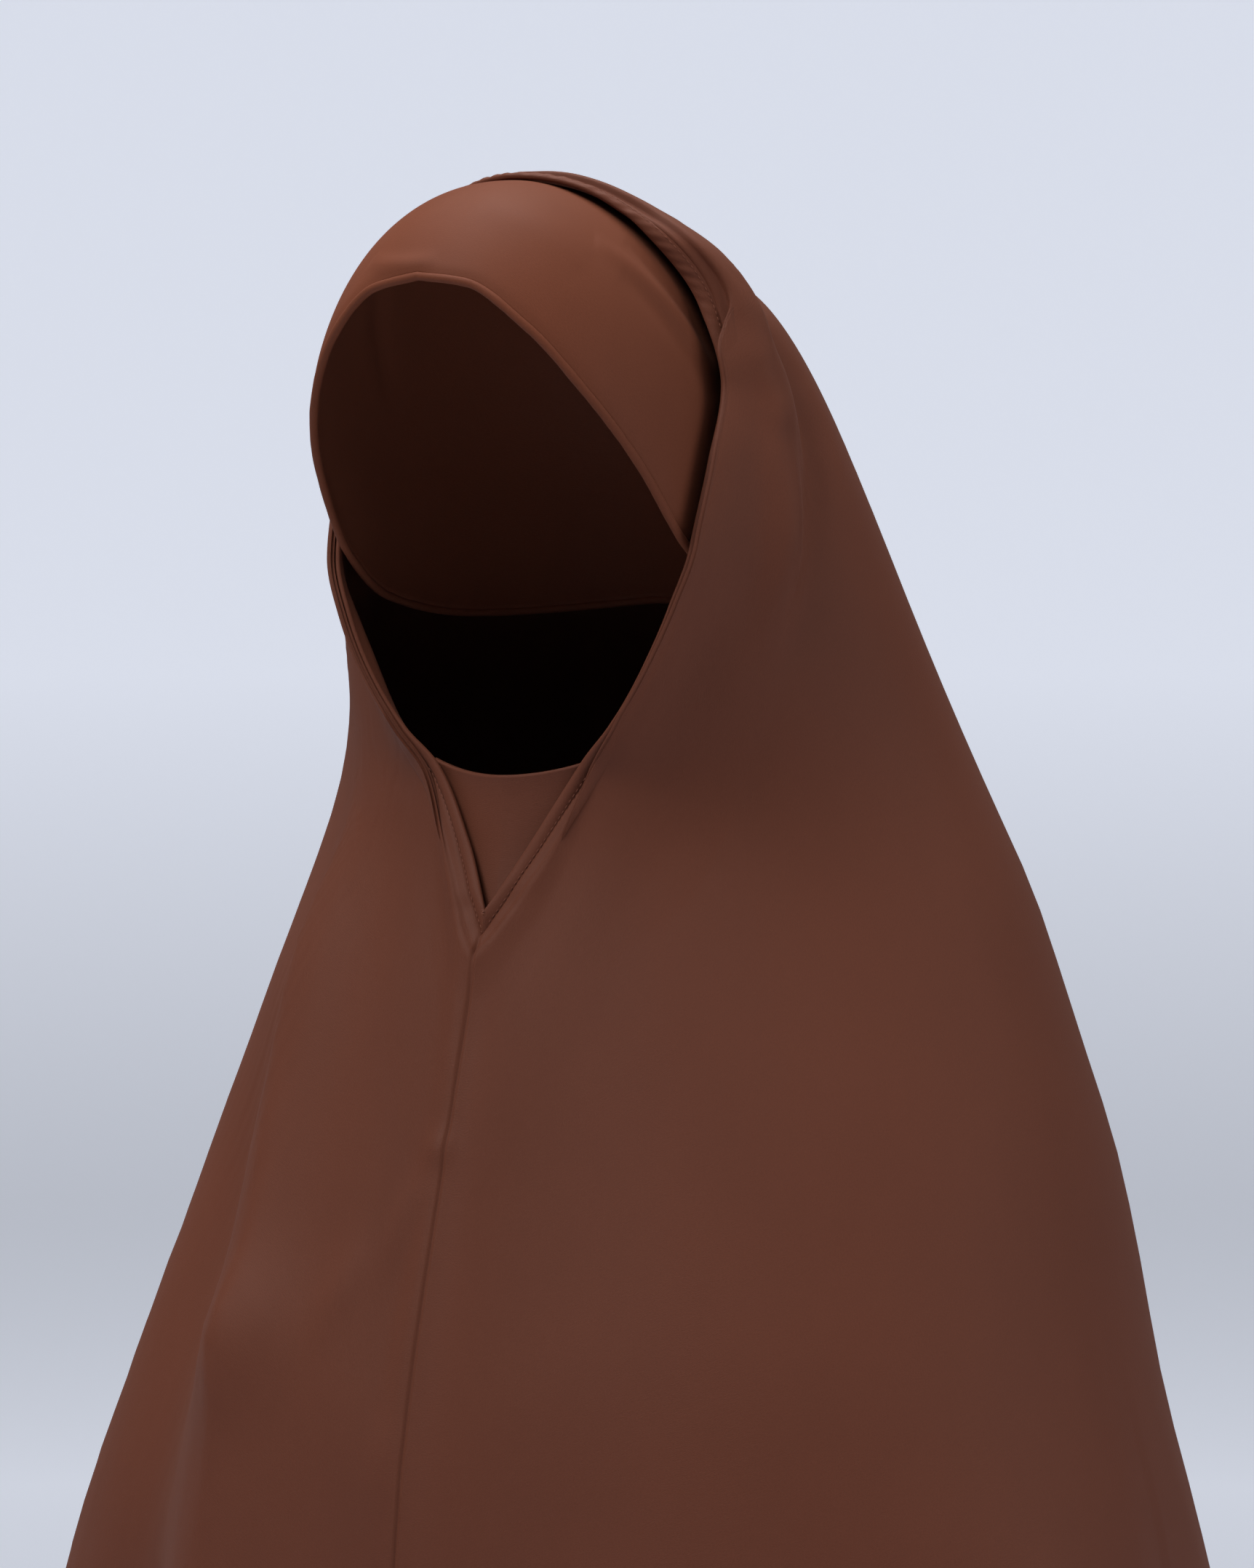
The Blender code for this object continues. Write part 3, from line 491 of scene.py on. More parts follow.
class Veil:
    """The veil's finished outer face: the drape with its folds, and the rolled cloth beside the face."""

    def __init__(self, sizes):
        self.sizes = sizes
        self.drape = Drape()
        self.measure_runs()

    def measure_runs(self):
        """For each side, the reach at which the cloth is some distance away from the face's edge."""
        self.sides = np.linspace(-0.5, 0.5, 401)
        self.near_reach = np.linspace(0, 0.30, 61)
        side, reach = np.meshgrid(self.sides, self.near_reach, indexing="ij")
        points = self.drape.cloth(side, reach)
        down = points[:, 3] - points[:, 0]
        along = np.roll(points[:, 0], -1, axis=0) - np.roll(points[:, 0], 1, axis=0)
        slant = np.linalg.norm(np.cross(unit(down), unit(along)), axis=-1)
        width = np.exp(-0.5 * (np.arange(-12, 13) / 4) ** 2)
        slant = np.convolve(np.pad(slant, 12, mode="wrap"), width / width.sum(), "valid")
        run = np.linalg.norm(np.diff(points, axis=1), axis=-1).cumsum(axis=1)
        self.near_run = np.concatenate([np.zeros((len(self.sides), 1)), run], axis=1)
        self.near_run *= np.clip(slant, 0.45, 1)[:, None]

    def reach_at(self, side, away):
        """The reach at each side that lies some distance away from the face's edge."""
        place = ((side + 0.5) % 1) * (len(self.sides) - 1)
        low = np.clip(place.astype(int), 0, len(self.sides) - 2)
        share = place - low
        result = np.zeros(side.shape)
        for column in range(side.shape[-1]):
            first, second = self.near_run[low[0, column]], self.near_run[low[0, column] + 1]
            run = first + (second - first) * share[0, column]
            inside = np.interp(away[:, column], run, self.near_reach)
            before = np.minimum(away[:, column], 0) * self.near_reach[1] / run[1]
            result[:, column] = inside + before
        return result

    def zone_shares(self, side):
        """How much of the neckline's, cheek's and crown's profile the cloth has at each side."""
        far = np.abs(side)
        neckline = 1 - smoothstep((far - 0.050) / 0.085)
        crown = smoothstep((far - 0.330) / 0.055)
        return neckline, 1 - neckline - crown, crown

    def fold_shift(self, points, reach):
        """How far the folds move each point out of the cloth and away from the face."""
        height = np.zeros(points.shape[:-1])
        lean = np.zeros(points.shape[:-1])
        u = np.linspace(0, 1, FOLD_POINTS)
        for _, first, middle, last, width, tall, at_start, at_end, leans in FOLDS + SMALL_FOLDS:
            route = bezier(first, middle, last, u)
            line = self.drape.cloth(route[:, 0], route[:, 1])
            taper = np.where(
                u < 0.5,
                at_start + (1 - at_start) * smoothstep(2 * u),
                at_end + (1 - at_end) * smoothstep(2 - 2 * u),
            )
            room = 3.5 * width * self.sizes.fold_width
            low, high = line.min(axis=0) - room, line.max(axis=0) + room
            close = ((points > low) & (points < high)).all(axis=-1)
            gap = np.linalg.norm(points[close][:, None, :] - line, axis=-1)
            nearest = gap.argmin(axis=-1)
            away = gap.min(axis=-1) / (width * self.sizes.fold_width)
            bump = taper[nearest] * np.exp(-(away**2)) * self.sizes.fold_height
            height[close] += tall * bump
            lean[close] += leans * bump
        calm = smoothstep(reach * VEIL_LENGTH / EDGE_CALM)
        return height * calm, lean * calm

    def shaped(self, side, reach, height):
        """The points at these sides and reaches, moved out by the folds and by some more height."""
        points = self.drape.soft(side, reach)
        down = self.drape.soft(side, reach + SMALL_SHARE) - self.drape.soft(side, reach - SMALL_SHARE)
        around = self.drape.soft(side + SMALL_SHARE, reach)
        around = around - self.drape.soft(side - SMALL_SHARE, reach)
        normal = unit(np.cross(down, around))
        folds, lean = self.fold_shift(points, reach)
        seam = np.exp(-((seam_distance(points) / self.sizes.seam_width) ** 2))
        seam = seam * smoothstep((reach - 0.010) / 0.012)
        height = height + folds - self.sizes.seam_depth * seam
        points = points + normal * height[..., None] + unit(down) * lean[..., None]
        return points + (0, 0, LAYER_LIFT)

    def beside_face(self, side, row):
        """Distance from the face's edge and height of the rolled cloth, at rows of EDGE_PROFILE."""
        table = np.array(EDGE_PROFILE)[:, 1:]
        read = smooth_through(np.arange(len(table)), table, row)
        neckline, cheek, crown = self.zone_shares(side)
        away = read[:, 0:1] * neckline + read[:, 2:3] * cheek + read[:, 4:5] * crown
        height = read[:, 1:2] * neckline + read[:, 3:4] * cheek + read[:, 5:6] * crown
        top = smoothstep((np.abs(side) - 0.445) / 0.055)
        height = height * (1 - 0.5 * top * crown)
        height = height * (1 - 0.6 * smoothstep(-side / 0.1) * cheek)
        return away * self.sizes.hem_width, height * self.sizes.hem_width

    def body(self, sides):
        """The veil's outer face from its hem's stitches to the lower hem, and its way from the face."""
        steps = [count for count, *_ in EDGE_PROFILE[:-1]]
        row = np.concatenate([k + np.arange(n) / n for k, n in enumerate(steps)])
        side = np.broadcast_to(sides, (len(row), len(sides)))
        away, height = self.beside_face(side, row)
        near = self.reach_at(side, away)
        last = self.reach_at(side[:1], np.full((1, len(sides)), EDGE_PROFILE[-1][1] * self.sizes.hem_width))
        hem = self.sizes.lower_hem / VEIL_LENGTH
        share = np.linspace(0, 1, SKIRT_ROWS)[:, None] ** SKIRT_CROWDING
        skirt = last + (1 - hem - last) * share
        end = 1 - hem + hem * np.linspace(0, 1, LOWER_HEM_ROWS + 1)[1:, None]
        reach = np.concatenate([near, skirt, np.broadcast_to(end, (LOWER_HEM_ROWS, len(sides)))])
        sunk = np.zeros_like(reach)
        sunk[: len(row)] = height
        stitched = np.exp(-(((1 - reach - hem) * VEIL_LENGTH / (2 * CLOTH_WALL)) ** 2))
        sunk[len(row) :] -= CLOTH_WALL / 3 * stitched[len(row) :]
        side = np.broadcast_to(sides, reach.shape)
        return self.shaped(side, reach, sunk), reach

    def gathers(self, side, away):
        """The tiny gathers across the hem over the crown and temples."""
        share = smoothstep((np.abs(side) - 0.33) / 0.06)
        count = round(self.edge_length() / self.sizes.gather_pitch)
        wave = np.sin(2 * pi * side * count) + 0.5 * np.sin(2 * pi * side * round(0.618 * count) + 1.3)
        middle = np.sin(pi * np.clip(away / self.sizes.stitch_distance, 0, 1))
        return GATHER_HEIGHT * share * wave * middle

    def edge_length(self):
        edge = self.drape.edge
        return 2 * np.linalg.norm(np.diff(edge, axis=0), axis=1).sum()


def seam_distance(points):
    """How far each point lies from the middle seam, which runs down the front from the neckline."""
    return np.where(points[..., 1] < 0, np.abs(points[..., 0]), 1)


def column_sides(count):
    """The sides of a ring's columns, crowded together beside the middle seam."""
    side = np.linspace(-0.5, 0.5, 8001)
    crowd = SEAM_COLUMNS_SHARE / (1 - SEAM_COLUMNS_SHARE) / (SEAM_DENSE_SIDE * pi**0.5)
    density = 1 + crowd * np.exp(-((side / SEAM_DENSE_SIDE) ** 2))
    total = np.concatenate([[0], np.cumsum((density[1:] + density[:-1]) / 2)])
    return np.interp(np.linspace(0, total[-1], count + 1), total, side)


def head_point(turn, drop, depth=0.0):
    """A point on the band's outer face, or some depth inside it."""
    rise = np.clip((CROWN_HEIGHT - drop) / CROWN_HEIGHT, 0, 1)
    half = (HEAD_WIDTH / 2 - depth) * np.sqrt(1 - rise**2)
    front = (HEAD_DEPTH / 2 - depth) * (1 - rise**BROW_ROUNDNESS) ** (1 / BROW_ROUNDNESS)
    back = (HEAD_DEPTH / 2 - depth) * np.sqrt(1 - rise**2)
    across, ahead = np.sin(turn), np.cos(turn)
    deep = np.maximum(np.where(ahead > 0, front, back), TINY)
    roundness = np.where(ahead > 0, HEAD_ROUNDNESS, 2.0)
    sum_of_powers = (np.abs(across) / np.maximum(half, TINY)) ** roundness
    radius = (sum_of_powers + (np.abs(ahead) / deep) ** roundness) ** (-1 / roundness)
    level = BAND_WALL - drop - depth * rise**2
    return np.stack([radius * across, -radius * ahead, level], -1)


def band_lower_drop(turn):
    rows = np.array(BAND_LOWER_EDGE)
    share = np.abs((turn / pi + 1) % 2 - 1)
    return smooth_through(rows[:, 0], rows[:, 1], share) * CROWN_TO_CHIN


def band_grid(sizes):
    """The band's outer face from the opening left over the crown down to its edge, with its wrinkles."""
    turn = np.linspace(-pi, pi, BAND_COLUMNS + 1)
    lower = band_lower_drop(turn)
    reach = np.arccos(np.clip(1 - lower / CROWN_HEIGHT, 0, 1))
    reach = reach + np.maximum(lower / CROWN_HEIGHT - 1, 0)
    reach = reach + BAND_TUCK_ANGLE
    low = np.stack([reach * np.sin(turn), reach * np.cos(turn)], -1)
    high = np.stack([np.sin(turn), np.cos(turn)], -1) * BAND_TOP_ANGLE
    high = high - (0, BAND_TOP_SHIFT_ANGLE)
    share = np.linspace(0, 1, BAND_ROWS + 1)[:, None, None]
    flat = high * (1 - share) + low * share
    far = np.hypot(flat[..., 0], flat[..., 1])
    drop = CROWN_HEIGHT * np.where(far < pi / 2, 1 - np.cos(far), 1 + far - pi / 2)
    points = head_point(np.arctan2(flat[..., 0], flat[..., 1]), drop)
    normal = grid_normals(points, True)
    height = np.zeros(drop.shape)
    u = np.linspace(0, 1, FOLD_POINTS)
    for first, middle, last, width, tall in BAND_WRINKLES:
        route = bezier(first, middle, last, u)
        line = head_point(route[:, 0] * pi, route[:, 1] * CROWN_TO_CHIN)
        gap = np.linalg.norm(points[:, :, None, :] - line, axis=-1)
        taper = np.sin(pi * u[gap.argmin(axis=-1)]) ** 0.7
        away = gap.min(axis=-1) / (width * sizes.wrinkle_width)
        height += tall * sizes.wrinkle_height * taper * np.exp(-(away**2))
    height -= 0.5 * sizes.wrinkle_height * np.exp(-(((1 - share[..., 0]) / 0.03) ** 2))
    return points + normal * height[..., None]


def grid_normals(grid, closed):
    """The outward normals of a grid whose rows run down and whose columns run to the wearer's left."""
    down = np.gradient(grid, axis=0)
    around = np.gradient(grid, axis=1)
    if closed:
        around[:, 0] = around[:, -1] = (grid[:, 1] - grid[:, -2]) / 2
    return unit(np.cross(down, around))


def panel_grid(drape):
    """The inner cloth behind the neckline, from under the chin to a little below its point."""
    edge = opening_rows()
    across = np.linspace(-1, 1, PANEL_COLUMNS + 1)[None]
    down = np.linspace(0, 1, PANEL_ROWS + 1)[:, None]
    top = PANEL_TOP_DROP + PANEL_SAG * (1 - across**2)
    bottom = NECKLINE_DROP + PANEL_BELOW_NECKLINE
    drop = top + (bottom - top) * down
    half = smooth_through(edge[:, 0], edge[:, 1], np.minimum(drop, NECKLINE_DROP)) + PANEL_TUCK
    centre = drape.section(drop)[2]
    front = drape.point(np.zeros_like(drop), drop)[..., 1]
    turn = np.arctan2(across * half, centre - front)
    outer = drape.point(turn, drop)
    normal = grid_normals(outer, False)
    inset = HEM_WALL + PANEL_GAP + PANEL_BACK * smoothstep((down - 0.15) / 0.6) + 0 * across
    return outer - normal * inset[..., None] + (0, 0, LAYER_LIFT)


def cloth_map(grid, closed_section=False):
    """Metres along and across the cloth for each point of a grid, from its middle column and rows."""
    run = np.linalg.norm(np.diff(grid, axis=1), axis=-1)
    along = np.concatenate([np.zeros((len(grid), 1)), np.cumsum(run, axis=1)], axis=1)
    along = along - along[:, along.shape[1] // 2][:, None]
    if closed_section:
        along = np.broadcast_to(along.mean(axis=0), along.shape)
    fall = np.linalg.norm(np.diff(grid, axis=0), axis=-1).mean(axis=1)
    down = np.broadcast_to(-np.concatenate([[0], np.cumsum(fall)])[:, None], along.shape)
    return np.stack([along, down], -1)


def select_only(obj):
    bpy.ops.object.select_all(action="DESELECT")
    obj.select_set(True)
    bpy.context.view_layer.objects.active = obj


def finish_with(obj, kind, **settings):
    """Adds a modifier with these settings and applies it."""
    select_only(obj)
    modifier = obj.modifiers.new(kind.title(), kind)
    for name, value in settings.items():
        setattr(modifier, name, value)
    bpy.ops.object.modifier_apply(modifier=modifier.name)


def cloth_piece(name, grid, wall, material, joined=True, closed_section=False):
    """A grid primitive shaped to a grid of points, closed around the head and given its thickness."""
    rows, columns = grid.shape[:2]
    bpy.ops.object.select_all(action="DESELECT")
    bpy.ops.mesh.primitive_grid_add(x_subdivisions=columns - 1, y_subdivisions=rows - 1, size=1)
    obj = bpy.context.object
    obj.name = obj.data.name = name
    mesh = obj.data
    mesh.vertices.foreach_set("co", np.ascontiguousarray(grid[::-1], np.float32).ravel())
    corners = np.zeros(len(mesh.loops), np.int32)
    mesh.loops.foreach_get("vertex_index", corners)
    places = cloth_map(grid, closed_section)[::-1].reshape(-1, 2)
    mesh.uv_layers.active.data.foreach_set("uv", places[corners].astype(np.float32).ravel())
    mesh.update()
    if joined:
        bpy.ops.object.mode_set(mode="EDIT")
        bpy.ops.mesh.select_all(action="SELECT")
        bpy.ops.mesh.remove_doubles(threshold=1e-6)
        bpy.ops.object.mode_set(mode="OBJECT")
    if wall:
        finish_with(obj, "SOLIDIFY", thickness=wall, offset=-1, use_even_offset=False)
    bpy.ops.object.shade_smooth()
    mesh.materials.clear()
    mesh.materials.append(material)
    return obj


def strip_section(rows, half_width, half_wall):
    """Distance and height around a flat strip's rounded section, from its near edge over the outside."""
    angle = np.linspace(pi, -pi, rows + 1)
    across = np.sign(np.cos(angle)) * np.abs(np.cos(angle)) ** STRIP_SQUARENESS
    up = np.sign(np.sin(angle)) * np.abs(np.sin(angle)) ** STRIP_SQUARENESS
    return half_width * (1 + across), half_wall * (up - 1)


def face_hem_grid(veil):
    """The turned hem around the face, a flat strip with a rounded edge, gathered over the crown."""
    sizes = veil.sizes
    sides = column_sides(HEM_COLUMNS)
    away, height = strip_section(HEM_ROWS, sizes.stitch_distance * 0.58, HEM_WALL / 2)
    side = np.broadcast_to(sides, (HEM_ROWS + 1, len(sides)))
    away = away[:, None] + 0 * side
    height = height[:, None] + 0 * side
    outside = smoothstep(1 + height / (HEM_WALL / 2))
    swell = HEM_CROWN * np.sin(pi * np.clip(away / sizes.stitch_distance, 0, 1))
    lap = smoothstep(side / LAP_STEP + 0.5) * np.exp(-((side / LAP_WIDTH) ** 2))
    height = height + outside * (swell - HEM_CROWN / 2 + veil.gathers(side, away) + LAP_HEIGHT * lap)
    return veil.shaped(side, veil.reach_at(side, away), height)


def one_stitch(sizes):
    """A single stitch along X at the origin, a stretched low sphere."""
    bpy.ops.object.select_all(action="DESELECT")
    bpy.ops.mesh.primitive_uv_sphere_add(segments=8, ring_count=5, radius=0.5)
    bpy.ops.object.mode_set(mode="EDIT")
    bpy.ops.mesh.select_all(action="SELECT")
    bpy.ops.transform.rotate(value=pi / 2, orient_axis="Y", center_override=(0, 0, 0))
    bpy.ops.transform.resize(
        value=(sizes.stitch_length, sizes.thread_width, sizes.thread_width * 0.8),
        center_override=(0, 0, 0),
    )
    bpy.ops.object.mode_set(mode="OBJECT")
    return bpy.context.object


def stitch_row(name, places, directions, normals, sizes, material):
    """Copies of one stitch set along a line, joined into one piece."""
    first = one_stitch(sizes)
    copies = []
    for place, along, normal in zip(places, directions, normals):
        copy = bpy.data.objects.new(name, first.data.copy())
        bpy.context.collection.objects.link(copy)
        across = np.cross(normal, along)
        across /= np.linalg.norm(across)
        up = np.cross(along, across)
        turned = np.eye(4)
        turned[:3, :3] = np.stack([along, across, up], 1)
        turned[:3, 3] = place
        copy.data.transform(Matrix(turned.tolist()))
        copies.append(copy)
    bpy.data.objects.remove(first)
    bpy.ops.object.select_all(action="DESELECT")
    for copy in copies:
        copy.select_set(True)
    bpy.context.view_layer.objects.active = copies[0]
    bpy.ops.object.join()
    obj = bpy.context.object
    obj.name = obj.data.name = name
    bpy.ops.object.shade_smooth()
    obj.data.materials.clear()
    obj.data.materials.append(material)
    return obj


def line_of_stitches(points, normals, pitch):
    """Places, directions and normals at an even pitch along a closed line."""
    run = np.concatenate([[0], np.cumsum(np.linalg.norm(np.diff(points, axis=0), axis=1))])
    count = int(run[-1] / pitch)
    at = (np.arange(count) + 0.5) * run[-1] / count
    read = np.stack([np.interp(at, run, values) for values in points.T], -1)
    ahead = np.stack([np.interp(at + pitch / 4, run, values) for values in points.T], -1)
    behind = np.stack([np.interp(at - pitch / 4, run, values) for values in points.T], -1)
    facing = unit(np.stack([np.interp(at, run, values) for values in normals.T], -1))
    return read, unit(ahead - behind), facing


def bead_grid(sizes):
    """The band's rolled lower edge, a tube with faint puckers where its cloth is turned."""
    turn = np.linspace(-pi, pi, BAND_COLUMNS + 1)
    drop = band_lower_drop(turn)
    outer = head_point(turn, drop)
    centre = head_point(turn, drop, BAND_EDGE_RADIUS - BAND_EDGE_PROUD)
    forward = np.gradient(centre, axis=0)
    forward[0] = forward[-1] = centre[1] - centre[-2]
    down = unit(np.cross(forward, outer - centre))
    centre = centre + down * BAND_EDGE_RADIUS
    out = unit(np.cross(down, forward))
    out = out * np.where((out * (outer - centre)).sum(axis=-1) < 0, -1, 1)[:, None]
    run = np.concatenate([[0], np.cumsum(np.linalg.norm(np.diff(centre, axis=0), axis=1))])
    phase = 2 * pi * run / run[-1]
    pucker = np.sin(31 * phase) + 0.7 * np.sin(47 * phase + 1.1) + 0.5 * np.sin(83 * phase + 0.4)
    radius = BAND_EDGE_RADIUS * (1 + BAND_EDGE_PUCKER * pucker)
    angle = np.linspace(0, 2 * pi, BEAD_POINTS + 1)[:, None, None]
    return centre + radius[:, None] * (np.cos(angle) * out + np.sin(angle) * down)


def add_socket(tree, name, way, kind, default=None):
    socket = tree.interface.new_socket(name=name, in_out=way, socket_type=kind)
    if default is not None:
        socket.default_value = default
    return socket


def noise(tree, place, scale, detail, roughness):
    node = tree.nodes.new("ShaderNodeTexNoise")
    node.inputs["Scale"].default_value = scale
    node.inputs["Detail"].default_value = detail
    node.inputs["Roughness"].default_value = roughness
    tree.links.new(place, node.inputs["Vector"])
    return node.outputs["Fac"]


def maths(tree, operation, first, second):
    """A Math node of two values, each a socket or a number."""
    node = tree.nodes.new("ShaderNodeMath")
    node.operation = operation
    for socket, value in zip(node.inputs, (first, second)):
        if isinstance(value, bpy.types.NodeSocket):
            tree.links.new(value, socket)
        else:
            socket.default_value = value
    return node.outputs[0]


def scaled(tree, place, x, y, z):
    """A Mapping node that stretches a pattern."""
    node = tree.nodes.new("ShaderNodeMapping")
    node.inputs["Scale"].default_value = (x, y, z)
    tree.links.new(place, node.inputs["Vector"])
    return node.outputs["Vector"]


def crepe_weave():
    """The node group for crepe: its grain, its faint threads and the cloth's uneven colour."""
    tree = bpy.data.node_groups.new("Crepe Weave", "ShaderNodeTree")
    add_socket(tree, "Cloth", "INPUT", "NodeSocketVector")
    add_socket(tree, "Place", "INPUT", "NodeSocketVector")
    add_socket(tree, "Colour", "INPUT", "NodeSocketColor")
    add_socket(tree, "Grain", "INPUT", "NodeSocketFloat", 1.0)
    add_socket(tree, "Unevenness", "INPUT", "NodeSocketFloat", 0.10)
    add_socket(tree, "Roughness", "INPUT", "NodeSocketFloat", 0.65)
    add_socket(tree, "Colour", "OUTPUT", "NodeSocketColor")
    add_socket(tree, "Roughness", "OUTPUT", "NodeSocketFloat")
    add_socket(tree, "Height", "OUTPUT", "NodeSocketFloat")
    given = tree.nodes.new("NodeGroupInput")
    result = tree.nodes.new("NodeGroupOutput")
    cloth, place = given.outputs["Cloth"], given.outputs["Place"]
    pebbles = noise(tree, scaled(tree, cloth, 1100, 2000, 1), 1, 2, 0.6)
    slubs = noise(tree, scaled(tree, cloth, 160, 900, 1), 1, 1, 0.5)
    patches = noise(tree, scaled(tree, place, 26, 26, 15), 1, 3, 0.55)
    threads = tree.nodes.new("ShaderNodeTexWave")
    threads.bands_direction = "Y"
    threads.inputs["Scale"].default_value = 1
    threads.inputs["Distortion"].default_value = 2.2
    threads.inputs["Detail"].default_value = 1
    threads.inputs["Detail Scale"].default_value = 1.4
    tree.links.new(scaled(tree, cloth, 240, 700, 1), threads.inputs["Vector"])
    relief = maths(tree, "MULTIPLY_ADD", pebbles, 0.75)
    relief.node.inputs[2].default_value = 0.0
    with_slubs = maths(tree, "MULTIPLY_ADD", slubs, 0.13)
    tree.links.new(relief, with_slubs.node.inputs[2])
    whole = maths(tree, "MULTIPLY_ADD", threads.outputs["Fac"], 0.12)
    tree.links.new(with_slubs, whole.node.inputs[2])
    height = maths(tree, "MULTIPLY", whole, given.outputs["Grain"])
    fine = maths(tree, "SUBTRACT", whole, 0.5)
    broad = maths(tree, "SUBTRACT", patches, 0.5)
    change = maths(tree, "ADD", maths(tree, "MULTIPLY", fine, 4.0), maths(tree, "MULTIPLY", broad, 1.3))
    change = maths(tree, "MULTIPLY", change, given.outputs["Unevenness"])
    tone = tree.nodes.new("ShaderNodeVectorMath")
    tone.operation = "SCALE"
    tree.links.new(given.outputs["Colour"], tone.inputs[0])
    tree.links.new(maths(tree, "ADD", change, 1.0), tone.inputs["Scale"])
    tree.links.new(tone.outputs[0], result.inputs["Colour"])
    rough = maths(tree, "ADD", maths(tree, "MULTIPLY", fine, 0.20), given.outputs["Roughness"])
    tree.links.new(rough, result.inputs["Roughness"])
    tree.links.new(height, result.inputs["Height"])
    return tree


def cloth_material(name, colour, roughness, sheen, grain, relief, unevenness=0.10, shine=0.16):
    """Crepe in some colour: its own Principled shader, with the weave group for grain and tone."""
    material = bpy.data.materials.new(name)
    material.use_nodes = True
    tree = material.node_tree
    shader = tree.nodes["Principled BSDF"]
    weave = tree.nodes.new("ShaderNodeGroup")
    weave.node_tree = bpy.data.node_groups.get("Crepe Weave") or crepe_weave()
    weave.inputs["Colour"].default_value = (*colour, 1)
    weave.inputs["Grain"].default_value = grain
    weave.inputs["Unevenness"].default_value = unevenness
    weave.inputs["Roughness"].default_value = roughness
    place = tree.nodes.new("ShaderNodeTexCoord")
    tree.links.new(place.outputs["UV"], weave.inputs["Cloth"])
    tree.links.new(place.outputs["Object"], weave.inputs["Place"])
    bump = tree.nodes.new("ShaderNodeBump")
    bump.inputs["Strength"].default_value = 0.6
    bump.inputs["Distance"].default_value = relief
    tree.links.new(weave.outputs["Height"], bump.inputs["Height"])
    tree.links.new(bump.outputs["Normal"], shader.inputs["Normal"])
    tree.links.new(weave.outputs["Colour"], shader.inputs["Base Color"])
    tree.links.new(weave.outputs["Roughness"], shader.inputs["Roughness"])
    shader.inputs["Sheen Weight"].default_value = sheen
    shader.inputs["Sheen Roughness"].default_value = 0.45
    shader.inputs["Sheen Tint"].default_value = (1.0, 0.55, 0.42, 1)
    shader.inputs["Specular IOR Level"].default_value = shine
    return material


def veil_crepe(colours):
    found = bpy.data.materials.get("Veil Crepe")
    return found or cloth_material(
        "Veil Crepe", colours.veil, colours.veil_roughness, colours.sheen, 1.0, 0.00022
    )


def band_crepe(colours):
    found = bpy.data.materials.get("Band Crepe")
    return found or cloth_material(
        "Band Crepe", colours.band, colours.band_roughness, colours.sheen, 0.7, 0.00016, 0.10, 0.06
    )


def sewing_thread(colours):
    found = bpy.data.materials.get("Sewing Thread")
    return found or cloth_material(
        "Sewing Thread", colours.thread, 0.5, colours.sheen, 0.5, 0.00005, 0.15
    )


class VeilSizes(bpy.types.PropertyGroup):
    """Sizes of the sewn details and folds."""

    hem_width: bpy.props.FloatProperty(
        name="Hem Width",
        description="Width that the rolled cloth beside the face is drawn from",
        default=0.0085,
        min=0.004,
        max=0.02,
        unit="LENGTH",
    )
    stitch_distance: bpy.props.FloatProperty(
        name="Stitch Distance",
        description="Distance of the face hem's stitches from its edge",
        default=0.0048,
        min=0.002,
        max=0.01,
        unit="LENGTH",
    )
    stitch_length: bpy.props.FloatProperty(
        name="Stitch Length",
        description="Length of one stitch",
        default=0.0015,
        min=0.001,
        max=0.005,
        unit="LENGTH",
    )
    stitch_pitch: bpy.props.FloatProperty(
        name="Stitch Pitch",
        description="Distance from one stitch to the next",
        default=0.0024,
        min=0.0015,
        max=0.006,
        unit="LENGTH",
    )
    thread_width: bpy.props.FloatProperty(
        name="Thread Width",
        description="Thickness of the sewing thread",
        default=0.00034,
        min=0.0002,
        max=0.001,
        unit="LENGTH",
    )
    gather_pitch: bpy.props.FloatProperty(
        name="Gather Pitch",
        description="Distance between the tiny gathers in the hem over the crown",
        default=0.0056,
        min=0.003,
        max=0.02,
        unit="LENGTH",
    )
    lower_hem: bpy.props.FloatProperty(
        name="Lower Hem",
        description="Distance of the lower hem's stitches from the cloth's lower edge",
        default=0.012,
        min=0.005,
        max=0.04,
        unit="LENGTH",
    )
    fold_width: bpy.props.FloatProperty(
        name="Fold Width",
        description="Width that the folds' widths are shares of",
        default=0.040,
        min=0.02,
        max=0.08,
        unit="LENGTH",
    )
    fold_height: bpy.props.FloatProperty(
        name="Fold Height",
        description="Height that the folds' heights are shares of",
        default=0.020,
        min=0.0,
        max=0.03,
        unit="LENGTH",
    )
    seam_width: bpy.props.FloatProperty(
        name="Seam Width",
        description="Half width of the groove along the middle seam",
        default=0.0008,
        min=0.0004,
        max=0.004,
        unit="LENGTH",
    )
    seam_depth: bpy.props.FloatProperty(
        name="Seam Depth",
        description="Depth of the groove along the middle seam",
        default=0.0007,
        min=0.0,
        max=0.004,
        unit="LENGTH",
    )
    wrinkle_width: bpy.props.FloatProperty(
        name="Wrinkle Width",
        description="Half width of the band's wrinkles",
        default=0.0042,
        min=0.001,
        max=0.01,
        unit="LENGTH",
    )
    wrinkle_height: bpy.props.FloatProperty(
        name="Wrinkle Height",
        description="Height of the band's wrinkles",
        default=0.0015,
        min=0.0,
        max=0.003,
        unit="LENGTH",
    )


